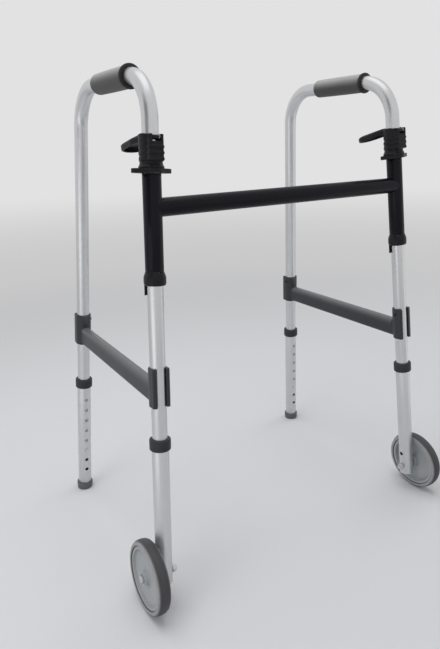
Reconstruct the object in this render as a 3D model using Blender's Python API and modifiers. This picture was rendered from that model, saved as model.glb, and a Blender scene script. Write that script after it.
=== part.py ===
"""A folding walker: two tube side frames that hinge in the sleeves of a front cross-frame.

Each side frame is an inverted U of aluminium tube. Its front leg turns in a steel sleeve, held open by
a latch that a push-down lever releases. The four legs telescope on sprung buttons, the rear ones end in
rubber tips and the front ones carry fixed wheels. Metres, +Z up, the front of the walker faces -Y, and
+X is the user's left. The origin is on the floor, in the middle of the walker's outline.
"""

import math

import bmesh
import bpy
from mathutils import Matrix, Vector

# Overall layout, measured between tube centres
FOOT_SPREAD = 0.616
BASE_DEPTH = 0.426
GRIP_HEIGHT = 0.865
OUTWARD_LEAN = math.radians(4.1)
LEG_RAKE = math.radians(4.2)
FRONT_FOOT_Y = -0.1923

# Tubes: outer radius and wall
LEG_RADIUS = 0.0127
LEG_WALL = 0.0013
LOWER_RADIUS = 0.0143
LOWER_WALL = 0.0012
SLEEVE_RADIUS = 0.0145
SLEEVE_WALL = 0.0012
CROSSBAR_RADIUS = 0.0143
CROSSBAR_WALL = 0.0014
BEND_RADIUS = 0.072
BEND_STEPS = 7
TUBE_SIDES = 20

# Heights along a leg, from the floor
CROSSBAR_HEIGHT = 0.6780
SLEEVE_BOTTOM = 0.5817
SLEEVE_TOP = 0.7283
BUSH_BOTTOM = 0.5617
TONGUE_BOTTOM = 0.5455
FLANGE_TOP = 0.7353
SADDLE_BOTTOM = 0.3645
SADDLE_TOP = 0.4290
BRACE_HEIGHT = 0.3835
FRONT_COLLAR_TOP = 0.3084
REAR_COLLAR_TOP = 0.2800
COLLAR_LENGTH = 0.0190
FRONT_LEG_END = 0.0430
REAR_LEG_END = 0.0070
TIP_TOP = 0.0159

# Height adjustment
HOLE_PITCH = 0.0254
FRONT_HOLES = 7
REAR_HOLES = 8
FRONT_FIRST_HOLE = 0.1200
REAR_FIRST_HOLE = 0.0542
BUTTON_HOLE = 2
TUBE_BELOW_BUTTON = 0.0150
HOLE_RADIUS = 0.0038
BUTTON_RADIUS = 0.0033

# Grip and brace
GRIP_RADIUS = 0.0172
GRIP_LENGTH = 0.136
GRIP_MIDDLE = 0.196
GRIP_LIP_RADIUS = 0.0187
GRIP_LIP_LENGTH = 0.0050
SADDLE_RADIUS = 0.0159
SADDLE_SLOT = 0.0168
SADDLE_CORNER = (0.0137, 0.0116)
SADDLE_CORNER_RADIUS = 0.0015
BRACE_THICKNESS = 0.0190
BRACE_DEPTH = 0.0362
BRACE_CORNER = 0.0066

# Latch, with heights above the base flange and y measured back from the leg's axis
RIB_HEIGHTS = (0.0130, 0.0215, 0.0300)
RIB_RADIUS = 0.0183
WAIST_RADIUS = 0.0172
HOUSING_BORE = 0.0154
HOUSING_RECESS = 0.0173
HOUSING_HEIGHT = 0.0480
RECESS_FLOOR = 0.0292
CHANNEL_TOP = 0.0255
PIVOT_Y = -0.0185
PIVOT_HEIGHT = 0.0432
YOKE_RADIUS = 0.0169
YOKE_BOTTOM = 0.0404
LEVER_TOP = 0.0490
LEVER_DROOP = math.radians(9.5)
PAD_ROOT = 0.022
PAD_NECK = 0.018
PAD_END = 0.043
LUG_CORNER = (0.0088, -0.0188)
LUG_TOP = 0.0475
LOCK_RING_RADIUS = 0.0146
LOCK_RING_BOTTOM = 0.0138
LOCK_RING_TOP = 0.0210
PLUNGER_Y = 0.0166
PLUNGER_RADIUS = 0.0018
PLUNGER_BOTTOM = 0.0092
PLUNGER_TOP = 0.0366
PIN_RADIUS = 0.0015

# Wheels
WHEEL_RADIUS = 0.0635
WHEEL_WIDTH = 0.0235
HUB_RADIUS = 0.0535
WHEEL_INNER_FACE = 0.0158
WHEEL_STEPS = 32
BOLT_RADIUS = 0.0040
SPARE_AXLE_HEIGHT = 0.0930

GAP = 0.0003


def empty_scene():
    for obj in list(bpy.data.objects):
        bpy.data.objects.remove(obj)


def new_collection(name):
    collection = bpy.data.collections.new(name)
    bpy.context.scene.collection.children.link(collection)
    return collection


empty_scene()
PARTS = new_collection("folding_walker")
CUTTERS = new_collection("cutters")
CUTTERS.hide_render = True


def material(name, colour, roughness, metallic=0.0):
    finish = bpy.data.materials.new(name)
    finish.use_nodes = True
    shader = finish.node_tree.nodes["Principled BSDF"]
    shader.inputs["Base Color"].default_value = (*colour, 1.0)
    shader.inputs["Roughness"].default_value = roughness
    shader.inputs["Metallic"].default_value = metallic
    finish.diffuse_color = (*colour, 1.0)
    return finish


ALUMINIUM = material("satin_aluminium", (0.72, 0.73, 0.74), 0.28, 1.0)
BLACK_STEEL = material("gloss_black_paint", (0.015, 0.016, 0.020), 0.22)
BLACK_PLASTIC = material("black_plastic", (0.020, 0.020, 0.022), 0.45)
SLATE_PLASTIC = material("slate_plastic", (0.060, 0.065, 0.070), 0.50)
GRIP_VINYL = material("grey_grip", (0.090, 0.082, 0.078), 0.75)
TIP_RUBBER = material("tip_rubber", (0.070, 0.070, 0.075), 0.80)
TYRE_RUBBER = material("tyre_rubber", (0.060, 0.060, 0.063), 0.65)
HUB_PLASTIC = material("hub_plastic", (0.33, 0.34, 0.35), 0.45)
ZINC = material("zinc_plate", (0.62, 0.63, 0.62), 0.32, 1.0)
SPRING_STEEL = material("spring_steel", (0.40, 0.40, 0.42), 0.35, 1.0)
NYLON = material("white_nylon", (0.75, 0.75, 0.72), 0.50)


def place(obj, finish, parent=None, location=(0, 0, 0), rotation=(0, 0, 0)):
    """Puts a piece in the walker's collection, with its finish, in its parent's frame."""
    PARTS.objects.link(obj)
    obj.data.materials.append(finish)
    obj.parent = parent
    obj.location = location
    obj.rotation_euler = rotation
    obj.data.shade_smooth()
    obj.data.set_sharp_from_angle(angle=math.radians(35))
    return obj


def frame_at(name, parent=None, location=(0, 0, 0), rotation=(0, 0, 0)):
    axis = bpy.data.objects.new(name, None)
    axis.empty_display_size = 0.05
    PARTS.objects.link(axis)
    axis.parent = parent
    axis.location = location
    axis.rotation_euler = rotation
    return axis


def as_object(name, bm):
    mesh = bpy.data.meshes.new(name)
    bm.to_mesh(mesh)
    bm.free()
    return bpy.data.objects.new(name, mesh)


def turned(name, profile, steps=TUBE_SIDES):
    """A closed (radius, height) outline, listed down its outer side, turned about Z."""
    bm = bmesh.new()
    points = [bm.verts.new((radius, 0.0, height)) for radius, height in profile]
    for start, end in zip(points, points[1:] + points[:1]):
        bm.edges.new((start, end))
    obj = as_object(name, bm)
    screw = obj.modifiers.new("turn", "SCREW")
    screw.steps = steps
    screw.render_steps = steps
    screw.use_merge_vertices = True
    screw.merge_threshold = 0.00001
    return obj


def ring(name, outer, inner, bottom, top, chamfer=0.0, steps=TUBE_SIDES):
    """A plain hollow cylinder, with its outer edges chamfered if asked."""
    profile = [(outer - chamfer, top)] if chamfer else []
    profile += [(outer, top - chamfer), (outer, bottom + chamfer)]
    profile += [(outer - chamfer, bottom)] if chamfer else []
    profile += [(inner, bottom), (inner, top)]
    return turned(name, profile, steps)


def cylinder_mesh(radius, bottom, top, sides=16, matrix=None):
    """A capped cylinder along Z, in a bmesh of its own."""
    bm = bmesh.new()
    middle = Matrix.Translation((0, 0, (bottom + top) / 2))
    bmesh.ops.create_cone(
        bm,
        cap_ends=True,
        segments=sides,
        radius1=radius,
        radius2=radius,
        depth=top - bottom,
        matrix=(matrix or Matrix()) @ middle,
    )
    return bm


def box_mesh(low, high, matrix=None):
    bm = bmesh.new()
    low, high = Vector(low), Vector(high)
    size = Matrix.Diagonal((*(high - low), 1.0))
    bmesh.ops.create_cube(
        bm, size=1.0, matrix=(matrix or Matrix()) @ Matrix.Translation((low + high) / 2) @ size
    )
    return bm


def hull_mesh(discs, sides=16):
    """The convex solid round a few level discs, each given as (x, y, z, radius)."""
    bm = bmesh.new()
    for x, y, z, radius in discs:
        for step in range(sides):
            turn = 2 * math.pi * step / sides
            bm.verts.new((x + radius * math.cos(turn), y + radius * math.sin(turn), z))
    hull = bmesh.ops.convex_hull(bm, input=bm.verts)
    inside = [e for e in hull["geom_interior"] if isinstance(e, bmesh.types.BMVert)]
    bmesh.ops.delete(bm, geom=inside, context="VERTS")
    return bm


def boolean(obj, other_mesh, operation="DIFFERENCE"):
    """Cuts a bmesh from a piece, or joins it on, by a modifier that stays live."""
    name = f"{obj.name}_{operation.lower()}_{len(obj.modifiers)}"
    other = as_object(name, other_mesh)
    CUTTERS.objects.link(other)
    other.parent = obj
    other.hide_render = True
    other.display_type = "WIRE"
    modifier = obj.modifiers.new(name, "BOOLEAN")
    modifier.operation = operation
    modifier.solver = "EXACT"
    modifier.object = other


def joined(meshes):
    """Several separate bmeshes as one, for a single cut."""
    bm = bmesh.new()
    for piece in meshes:
        mesh = bpy.data.meshes.new("joined")
        piece.to_mesh(mesh)
        piece.free()
        bm.from_mesh(mesh)
        bpy.data.meshes.remove(mesh)
    return bm


def curve_mesh(name, points, radius, sides_step, filled):
    """A round tube along a line of points, as a mesh with its seams welded."""
    curve = bpy.data.curves.new(name, "CURVE")
    curve.dimensions = "3D"
    curve.bevel_depth = radius
    curve.bevel_resolution = sides_step
    curve.use_fill_caps = filled
    spline = curve.splines.new("POLY")
    spline.points.add(len(points) - 1)
    for knot, point in zip(spline.points, points):
        knot.co = (*point, 1.0)
    guide = bpy.data.objects.new(name + "_guide", curve)
    bpy.context.scene.collection.objects.link(guide)
    graph = bpy.context.evaluated_depsgraph_get()
    mesh = bpy.data.meshes.new_from_object(guide.evaluated_get(graph))
    bpy.data.objects.remove(guide)
    bm = bmesh.new()
    bm.from_mesh(mesh)
    bmesh.ops.remove_doubles(bm, verts=bm.verts, dist=0.000001)
    bmesh.ops.recalc_face_normals(bm, faces=bm.faces)
    bpy.data.meshes.remove(mesh)
    return bm


ALONG_X = Matrix.Rotation(math.radians(90), 4, "Y")
ALONG_Y = Matrix.Rotation(math.radians(-90), 4, "X")


# The side frame, drawn in its own plane: Y runs rearward and Z up from the front foot

GRIP_LINE = GRIP_HEIGHT / math.cos(OUTWARD_LEAN)


def bend_points(corner_y, first, last):
    """A bend under the grip line, as an arc between two directions given as angles from +Y."""
    half_turn = (math.radians(90) - LEG_RAKE) / 2
    setback = BEND_RADIUS * math.tan(half_turn)
    inward = 1 if corner_y < BASE_DEPTH / 2 else -1
    centre_y = corner_y + inward * setback
    centre_z = GRIP_LINE - BEND_RADIUS
    points = []
    for step in range(BEND_STEPS + 1):
        turn = first + (last - first) * step / BEND_STEPS
        y = centre_y + BEND_RADIUS * math.cos(turn)
        points.append((0.0, y, centre_z + BEND_RADIUS * math.sin(turn)))
    return points


def leg_point(height, rear):
    """A point on a leg's centre line, at a height measured along the leg."""
    y = height * math.sin(LEG_RAKE)
    return (0.0, BASE_DEPTH - y if rear else y, height * math.cos(LEG_RAKE))


def hole_height(first, index):
    return first + HOLE_PITCH * index


FRONT_BUTTON = hole_height(FRONT_FIRST_HOLE, BUTTON_HOLE)
REAR_BUTTON = hole_height(REAR_FIRST_HOLE, BUTTON_HOLE)


def side_tube(name, parent):
    """One bent tube: up the front leg, along the grip line and down the rear leg."""
    corner = GRIP_LINE * math.tan(LEG_RAKE)
    quarter = math.radians(90)
    points = [leg_point(FRONT_BUTTON - TUBE_BELOW_BUTTON, rear=False)]
    points += bend_points(corner, 2 * quarter - LEG_RAKE, quarter)
    points += bend_points(BASE_DEPTH - corner, quarter, LEG_RAKE)
    points += [leg_point(REAR_BUTTON - TUBE_BELOW_BUTTON, rear=True)]
    tube = as_object(name, curve_mesh(name, points, LEG_RADIUS, TUBE_SIDES // 2 - 2, filled=False))
    wall = tube.modifiers.new("wall", "SOLIDIFY")
    wall.thickness = LEG_WALL
    wall.offset = -1.0
    wall.use_even_offset = True
    button_bores = []
    for height, rear in ((FRONT_BUTTON, False), (REAR_BUTTON, True)):
        lean = LEG_RAKE if rear else -LEG_RAKE
        spot = Matrix.Translation(leg_point(height, rear)) @ Matrix.Rotation(lean, 4, "X")
        reach = (-0.020, 0.0) if rear else (0.0, 0.020)
        button_bores.append(cylinder_mesh(HOLE_RADIUS, *reach, 12, spot @ ALONG_Y))
    boolean(tube, joined(button_bores))
    return place(tube, ALUMINIUM, parent)


def grip(name, parent):
    """A padded sleeve on the straight top of the side tube, with a lip at its front end."""
    half = GRIP_LENGTH / 2
    sleeve = turned(
        name,
        [
            (GRIP_LIP_RADIUS - 0.0012, half),
            (GRIP_LIP_RADIUS, half - 0.0012),
            (GRIP_LIP_RADIUS, half - GRIP_LIP_LENGTH),
            (GRIP_RADIUS, half - GRIP_LIP_LENGTH - 0.0015),
            (GRIP_RADIUS, 0.003 - half),
            (GRIP_RADIUS - 0.003, -half),
            (LEG_RADIUS + GAP, -half),
            (LEG_RADIUS + GAP, half - GRIP_LIP_LENGTH),
            (LEG_RADIUS + 3 * GAP, half),
        ],
    )
    middle = (0.0, GRIP_MIDDLE, GRIP_LINE)
    return place(sleeve, GRIP_VINYL, parent, middle, (math.radians(90), 0, 0))


def saddle_mesh(leg, away):
    """A clip's outer form: round where it meets the bar, square on its open side."""
    corner_x, corner_y = SADDLE_CORNER
    discs = []
    for height in (SADDLE_BOTTOM, SADDLE_TOP):
        discs.append((0, 0, height, SADDLE_RADIUS))
        for x in (-corner_x, corner_x):
            discs.append((x, away * corner_y, height, SADDLE_CORNER_RADIUS))
    bm = hull_mesh(discs, 24)
    bmesh.ops.transform(bm, matrix=leg, verts=bm.verts)
    return bm


def side_brace(name, parent):
    """An oval bar between two open saddles that clip round the legs."""
    front = Vector(leg_point(BRACE_HEIGHT, rear=False))
    rear = Vector(leg_point(BRACE_HEIGHT, rear=True))
    inside_leg = 0.004
    corner_x = BRACE_THICKNESS / 2 - BRACE_CORNER
    corner_y = BRACE_DEPTH / 2 - BRACE_CORNER
    discs = []
    for along in (inside_leg, rear.y - front.y - inside_leg):
        for x in (-corner_x, corner_x):
            for y in (-corner_y, corner_y):
                discs.append((x, y, along, BRACE_CORNER))
    bar = hull_mesh(discs, 20)
    bmesh.ops.transform(bar, matrix=Matrix.Translation(front) @ ALONG_Y, verts=bar.verts)
    brace = as_object(name, bar)
    bores, slots = [], []
    for is_rear in (False, True):
        lean = LEG_RAKE if is_rear else -LEG_RAKE
        foot = (0, BASE_DEPTH if is_rear else 0, 0)
        leg = Matrix.Translation(foot) @ Matrix.Rotation(lean, 4, "X")
        away = 1 if is_rear else -1
        boolean(brace, saddle_mesh(leg, away), "UNION")
        bores.append(cylinder_mesh(LEG_RADIUS + 1.2 * GAP, SADDLE_BOTTOM - 0.02, SADDLE_TOP + 0.02, 24, leg))
        slot_ys = sorted((away * 0.006, away * 0.030))
        low = (-SADDLE_SLOT / 2, slot_ys[0], SADDLE_BOTTOM - 0.01)
        high = (SADDLE_SLOT / 2, slot_ys[1], SADDLE_TOP + 0.01)
        slots.append(box_mesh(low, high, leg))
    boolean(brace, joined(bores))
    boolean(brace, joined(slots))
    return place(brace, SLATE_PLASTIC, parent)


def brace_rivet(name, leg_axis, inward):
    """A dome-headed rivet through the saddle's inner cheek."""
    head = turned(
        name,
        [(0.0012, 0.0016), (0.0030, 0.0007), (0.0034, 0.0), (0.0, 0.0), (0.0, 0.0016)],
        12,
    )
    turn = math.radians(90) * inward
    spot = (inward * (SADDLE_RADIUS + GAP), 0.0, SADDLE_TOP - 0.012)
    return place(head, ZINC, leg_axis, spot, (0, turn, 0))


def button_spring(name, leg_axis, button_height, outward):
    """A folded leaf inside the tube. It is drawn pressed, so the button has its travel."""
    arm, width, leaf, wall_y = 0.040, 0.006, 0.0007, 0.0102
    fold = button_height + arm
    outline = [
        (-wall_y, button_height - 0.006),
        (-wall_y, fold),
        (-wall_y + 0.0035, fold + 0.002),
        (0.0015, button_height - 0.004),
        (0.0015 - leaf, button_height - 0.004),
        (-wall_y + 0.0035, fold + 0.0005),
        (-wall_y + leaf, fold - 0.0015),
        (-wall_y + leaf, button_height - 0.006),
    ]
    bm = bmesh.new()
    flat = [bm.verts.new((-width / 2, outward * y, z)) for y, z in outline]
    face = bm.faces.new(flat)
    extruded = bmesh.ops.extrude_face_region(bm, geom=[face])
    moved = [e for e in extruded["geom"] if isinstance(e, bmesh.types.BMVert)]
    bmesh.ops.translate(bm, verts=moved, vec=(width, 0, 0))
    bmesh.ops.recalc_face_normals(bm, faces=bm.faces)
    return place(as_object(name, bm), SPRING_STEEL, leg_axis)


def snap_button(name, leg_axis, button_height, outward):
    """A domed button with a wide foot inside the tube. Its own Z points out of the leg."""
    foot_top = LEG_RADIUS - LEG_WALL - 0.0013
    button = turned(
        name,
        [
            (0.0012, 0.0169),
            (0.0026, 0.0163),
            (BUTTON_RADIUS, 0.0152),
            (BUTTON_RADIUS, foot_top),
            (0.0046, foot_top),
            (0.0046, foot_top - 0.0012),
            (0.0, foot_top - 0.0012),
            (0.0, 0.0169),
        ],
        12,
    )
    turn = math.radians(-90) * outward
    return place(button, ZINC, leg_axis, (0, 0, button_height), (turn, 0, 0))


# The lower legs slide on the side tube

def lower_tube(name, leg_axis, bottom, collar_top, first_hole, holes, outward):
    tube = ring(name, LOWER_RADIUS, LOWER_RADIUS - LOWER_WALL, bottom, collar_top - 0.0025)
    cuts = []
    for index in range(holes):
        spot = Matrix.Translation((0, 0, hole_height(first_hole, index))) @ ALONG_Y
        reach = sorted((0.002 * outward, 0.020 * outward))
        cuts.append(cylinder_mesh(HOLE_RADIUS, *reach, 12, spot))
    if bottom == FRONT_LEG_END:
        for height in (AXLE_HEIGHT, SPARE_AXLE_HEIGHT):
            spot = Matrix.Translation((0, 0, height)) @ ALONG_X
            cuts.append(cylinder_mesh(BOLT_RADIUS + GAP, -0.020, 0.020, 12, spot))
    boolean(tube, joined(cuts))
    return place(tube, ALUMINIUM, leg_axis)


def collar(name, leg_axis, top):
    """A ring that closes the lower tube's mouth onto the leg."""
    bottom = top - COLLAR_LENGTH
    cap = turned(
        name,
        [
            (0.0165, top),
            (0.0178, top - 0.0015),
            (0.0178, bottom + 0.0012),
            (0.0168, bottom),
            (LOWER_RADIUS + GAP, bottom),
            (LOWER_RADIUS + GAP, top - 0.0022),
            (LEG_RADIUS + 2 * GAP, top - 0.0022),
            (LEG_RADIUS + 2 * GAP, top),
        ],
    )
    return place(cap, BLACK_PLASTIC, leg_axis)


def rubber_tip(name, leg_axis, lean):
    """A cup that covers the leg's end, cut level with the floor."""
    reach_below = 0.006
    cup = turned(
        name,
        [
            (0.0167, TIP_TOP),
            (0.0174, TIP_TOP - 0.0010),
            (0.0174, 0.0085),
            (0.0168, 0.0045),
            (0.0162, -0.0010),
            (0.0160, -reach_below),
            (0.0, -reach_below),
            (0.0, REAR_LEG_END - GAP),
            (LOWER_RADIUS + GAP, REAR_LEG_END - GAP),
            (LOWER_RADIUS + GAP, TIP_TOP),
        ],
    )
    floor = Matrix.Rotation(-LEG_RAKE, 4, "X") @ Matrix.Rotation(lean, 4, "Y")
    boolean(cup, box_mesh((-0.05, -0.05, -0.05), (0.05, 0.05, 0.0), floor))
    return place(cup, TIP_RUBBER, leg_axis)


# Wheels: outlines are given as (radius, distance along the axle from the wheel's inner face)

TYRE_OUTLINE = [
    (0.0560, WHEEL_WIDTH),
    (0.0605, WHEEL_WIDTH - 0.0012),
    (0.0628, WHEEL_WIDTH - 0.0055),
    (WHEEL_RADIUS, WHEEL_WIDTH / 2),
    (0.0628, 0.0055),
    (0.0605, 0.0012),
    (0.0560, 0.0),
    (HUB_RADIUS + GAP, 0.0018),
    (HUB_RADIUS + GAP, WHEEL_WIDTH - 0.0018),
]
HUB_OUTLINE = [
    (0.0080, WHEEL_WIDTH),
    (0.0110, WHEEL_WIDTH - 0.0010),
    (0.0125, 0.0186),
    (0.0220, 0.0164),
    (0.0465, 0.0176),
    (0.0480, WHEEL_WIDTH - 0.0025),
    (HUB_RADIUS, WHEEL_WIDTH - 0.0025),
    (HUB_RADIUS, 0.0025),
    (0.0480, 0.0025),
    (0.0465, 0.0112),
    (0.0220, 0.0122),
    (0.0125, 0.0102),
    (0.0115, 0.0),
    (0.0069, 0.0),
    (0.0069, WHEEL_WIDTH),
]
WHEEL_DROP = max(
    radius * math.cos(OUTWARD_LEAN) + (WHEEL_WIDTH / 2 - across) * math.sin(OUTWARD_LEAN)
    for radius, across in TYRE_OUTLINE
)
WHEEL_MIDDLE = WHEEL_INNER_FACE + WHEEL_WIDTH / 2
LEG_UPRIGHT = math.cos(OUTWARD_LEAN) * math.cos(LEG_RAKE)
AXLE_HEIGHT = (WHEEL_DROP - WHEEL_MIDDLE * math.sin(OUTWARD_LEAN)) / LEG_UPRIGHT


def wheel_turned(name, outline, axle, outward, finish, steps=WHEEL_STEPS):
    """A turned wheel piece, laid along the axle with its inner face towards the leg."""
    obj = turned(name, outline, steps)
    turn = math.radians(90) * outward
    return place(obj, finish, axle, (outward * WHEEL_INNER_FACE, 0, 0), (0, turn, 0))


def hexagon(bm_radius, low, high):
    return cylinder_mesh(bm_radius, low, high, 6, ALONG_X)


def wheel_and_axle(side, front_axis, outward):
    axle = frame_at(f"{side}_wheel_axle", front_axis, (0, 0, AXLE_HEIGHT))
    wheel_turned(f"{side}_tyre", TYRE_OUTLINE, axle, outward, TYRE_RUBBER)
    wheel_turned(f"{side}_wheel_hub", HUB_OUTLINE, axle, outward, HUB_PLASTIC)
    low, high, bore = -0.0002, WHEEL_WIDTH + 0.0002, BOLT_RADIUS + GAP
    bush = [(0.0066, high), (0.0066, low), (bore, low), (bore, high)]
    wheel_turned(f"{side}_wheel_bush", bush, axle, outward, NYLON, 16)
    washer_ends = (LOWER_RADIUS + GAP, WHEEL_INNER_FACE - 0.0005)
    washer = ring(f"{side}_axle_washer", 0.0080, BOLT_RADIUS + GAP, *washer_ends, steps=16)
    place(washer, ZINC, axle, rotation=(0, math.radians(90) * outward, 0))
    head_start = outward * (WHEEL_INNER_FACE + WHEEL_WIDTH + 0.0005)
    head_end = head_start + outward * 0.0045
    nut_start = -outward * (LOWER_RADIUS + GAP)
    nut_end = nut_start - outward * 0.0062
    shank = sorted((nut_end - outward * 0.0030, head_start + outward * 0.0010))
    bolt = as_object(f"{side}_axle_bolt", cylinder_mesh(BOLT_RADIUS, *shank, 16, ALONG_X))
    boolean(bolt, hexagon(0.0070, *sorted((head_start, head_end))), "UNION")
    place(bolt, ZINC, axle)
    nut = as_object(f"{side}_axle_nut", hexagon(0.0072, *sorted((nut_start, nut_end))))
    boolean(nut, cylinder_mesh(BOLT_RADIUS + GAP, -0.05, 0.05, 16, ALONG_X))
    place(nut, ZINC, axle)


# The cross-frame: crossbar, sleeves, bushes and latch housings

def sleeve(name, front_axis):
    tube = ring(name, SLEEVE_RADIUS, SLEEVE_RADIUS - SLEEVE_WALL, SLEEVE_BOTTOM + GAP, SLEEVE_TOP)
    return place(tube, BLACK_STEEL, front_axis)


def lower_bush(name, front_axis):
    """A flared bush under the sleeve, with a tongue down the back of the leg."""
    bore = SLEEVE_RADIUS - SLEEVE_WALL
    bush = turned(
        name,
        [
            (0.0150, SLEEVE_BOTTOM),
            (0.0166, SLEEVE_BOTTOM - 0.0040),
            (0.0176, SLEEVE_BOTTOM - 0.0085),
            (0.0176, BUSH_BOTTOM + 0.0030),
            (0.0165, BUSH_BOTTOM),
            (bore, BUSH_BOTTOM),
            (bore, SLEEVE_BOTTOM),
        ],
    )
    tongue = cylinder_mesh(0.0168, TONGUE_BOTTOM, BUSH_BOTTOM + 0.002, 24)
    boolean(bush, tongue, "UNION")
    front_half = box_mesh((-0.03, -0.03, TONGUE_BOTTOM - 0.01), (0.03, 0.0075, BUSH_BOTTOM - GAP))
    boolean(bush, front_half)
    boolean(bush, cylinder_mesh(bore, TONGUE_BOTTOM - 0.02, SLEEVE_BOTTOM + 0.01, 24))
    return place(bush, BLACK_PLASTIC, front_axis)


def base_flange(name, front_axis):
    """A winged plate between the sleeve and the latch housing."""
    bottom = SLEEVE_TOP + GAP
    discs = []
    for height in (bottom, FLANGE_TOP):
        discs.append((0, 0, height, 0.0200))
        discs.append((-0.0235, 0, height, 0.0085))
        discs.append((0.0235, 0, height, 0.0085))
    plate = as_object(name, hull_mesh(discs))
    boolean(plate, cylinder_mesh(LEG_RADIUS + 0.0006, bottom - 0.01, FLANGE_TOP + 0.01, 24))
    return place(plate, BLACK_PLASTIC, front_axis)


def housing_outline():
    """The latch housing's outer side, from its top down, with three ribs above a flare."""
    outline = [(RIB_RADIUS, HOUSING_HEIGHT)]
    for height in reversed(RIB_HEIGHTS):
        outline.append((RIB_RADIUS, height + 0.0018))
        outline.append((RIB_RADIUS, height - 0.0018))
        outline.append((WAIST_RADIUS, height - 0.0042))
    outline += [(0.0195, 0.0022), (0.0195, GAP), (HOUSING_BORE, GAP), (HOUSING_BORE, HOUSING_HEIGHT)]
    return outline


def latch_housing(name, latch_base):
    """A ribbed shell with a forked pivot in front and a channel for the plunger behind."""
    housing = turned(name, housing_outline())
    corner_x, corner_y = LUG_CORNER
    corners = [(x, y) for x in (-corner_x, corner_x) for y in (corner_y, -0.0125)]
    fork = hull_mesh([(x, y, z, 0.0030) for x, y in corners for z in (0.0100, LUG_TOP)], 12)
    back = box_mesh((-0.0042, 0.0150, GAP), (0.0042, 0.0200, CHANNEL_TOP))
    added = [fork, back]
    for height in RIB_HEIGHTS:
        band = [(x, y, z, 0.0038) for x, y in corners for z in (height - 0.0018, height + 0.0018)]
        added.append(hull_mesh(band, 12))
    for block in added:
        boolean(housing, block, "UNION")
    above = HOUSING_HEIGHT + 0.02
    pivot = Matrix.Translation((0, PIVOT_Y, PIVOT_HEIGHT))
    cutters = (
        cylinder_mesh(HOUSING_RECESS, RECESS_FLOOR, above, TUBE_SIDES),
        box_mesh((-0.0150, 0.0070, CHANNEL_TOP), (0.0150, 0.0300, above)),
        box_mesh((-0.0070, -0.0060, -0.0060), (0.0070, 0.0300, 0.0200), pivot),
        cylinder_mesh(PIN_RADIUS + GAP, -0.02, 0.02, 12, pivot @ ALONG_X),
        cylinder_mesh(HOUSING_BORE, -0.01, above, TUBE_SIDES),
        box_mesh((-0.0023, 0.0120, -0.01), (0.0023, 0.0187, above)),
    )
    for cutter in cutters:
        boolean(housing, cutter)
    return place(housing, BLACK_PLASTIC, latch_base)


def lever_pin(name, pivot):
    pin = as_object(name, cylinder_mesh(PIN_RADIUS, -0.0112, 0.0112, 12, ALONG_X))
    return place(pin, ZINC, pivot)


def lever_spring(name, pivot):
    """A torsion coil round the pivot pin, beside the lever's barrel."""
    turns, per_turn, radius, wire = 2.5, 10, 0.0026, 0.00045
    start, pitch = 0.0034, 0.0011
    points = []
    for step in range(int(turns * per_turn) + 1):
        turn = 2 * math.pi * step / per_turn
        x = start + pitch * step / per_turn
        points.append((x, radius * math.cos(turn), radius * math.sin(turn)))
    coil = as_object(name, curve_mesh(name, points, wire, 1, filled=True))
    return place(coil, SPRING_STEEL, pivot)


def release_lever(name, latch_base):
    """A push-down paddle whose yoke passes round the leg to a pivot in front of it."""
    pivot = frame_at(f"{name}_pivot", latch_base, (0, PIVOT_Y, PIVOT_HEIGHT))
    leg_y = -PIVOT_Y
    under = YOKE_BOTTOM - PIVOT_HEIGHT
    over = LEVER_TOP - PIVOT_HEIGHT
    yoke = [
        (0, leg_y, under, YOKE_RADIUS - 0.0007),
        (0, leg_y, over - 0.001, YOKE_RADIUS),
        (0, leg_y, over, YOKE_RADIUS - 0.0007),
        (0, 0.0050, under, 0.0064),
        (0, 0.0050, over, 0.0064),
    ]
    lever = as_object(name, hull_mesh(yoke, TUBE_SIDES))
    droop = Matrix.Translation((0, leg_y + PAD_ROOT, over)) @ Matrix.Rotation(-LEVER_DROOP, 4, "X")
    pad = hull_mesh(
        [
            (0, 0, 0, 0.0095),
            (0, 0, -0.0035, 0.0115),
            (0, 0, -0.0085, 0.0110),
            (0, PAD_NECK, 0, 0.0115),
            (0, PAD_NECK, -0.0040, 0.0180),
            (0, PAD_NECK, -0.0115, 0.0175),
            (0, PAD_END, 0, 0.0120),
            (0, PAD_END, -0.0040, 0.0195),
            (0, PAD_END, -0.0110, 0.0190),
        ]
    )
    bmesh.ops.transform(pad, matrix=droop, verts=pad.verts)
    boolean(lever, pad, "UNION")
    spoon = hull_mesh([(0, y, z, 0.0155) for y in (PAD_NECK - 0.004, PAD_END) for z in (-0.020, -0.0050)])
    bmesh.ops.transform(spoon, matrix=droop, verts=spoon.verts)
    boolean(lever, spoon)
    room = [(0, leg_y - 0.0006, 0.0137), (0, leg_y + 0.0018, 0.0137)]
    leg_room = hull_mesh([(x, y, z, radius) for x, y, radius in room for z in (-0.03, 0.03)], TUBE_SIDES)
    boolean(lever, leg_room)
    front_slope = Matrix.Translation((0, 0.0125, over)) @ Matrix.Rotation(math.radians(20), 4, "X")
    boolean(lever, box_mesh((-0.03, -0.03, 0.0), (0.03, 0.004, 0.02), front_slope))
    boolean(lever, cylinder_mesh(0.0032, -0.0066, 0.0024, 12, ALONG_X), "UNION")
    boolean(lever, cylinder_mesh(PIN_RADIUS + GAP, -0.0200, 0.0200, 12, ALONG_X))
    cheek_room = [box_mesh((x, -0.010, -0.01), (x + 0.012, 0.0043, 0.02)) for x in (-0.0186, 0.0066)]
    boolean(lever, joined(cheek_room))
    boolean(lever, box_mesh((0.0027, -0.0080, -0.0100), (0.0080, 0.0034, 0.0200)))
    place(lever, BLACK_PLASTIC, pivot)
    return pivot


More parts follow.
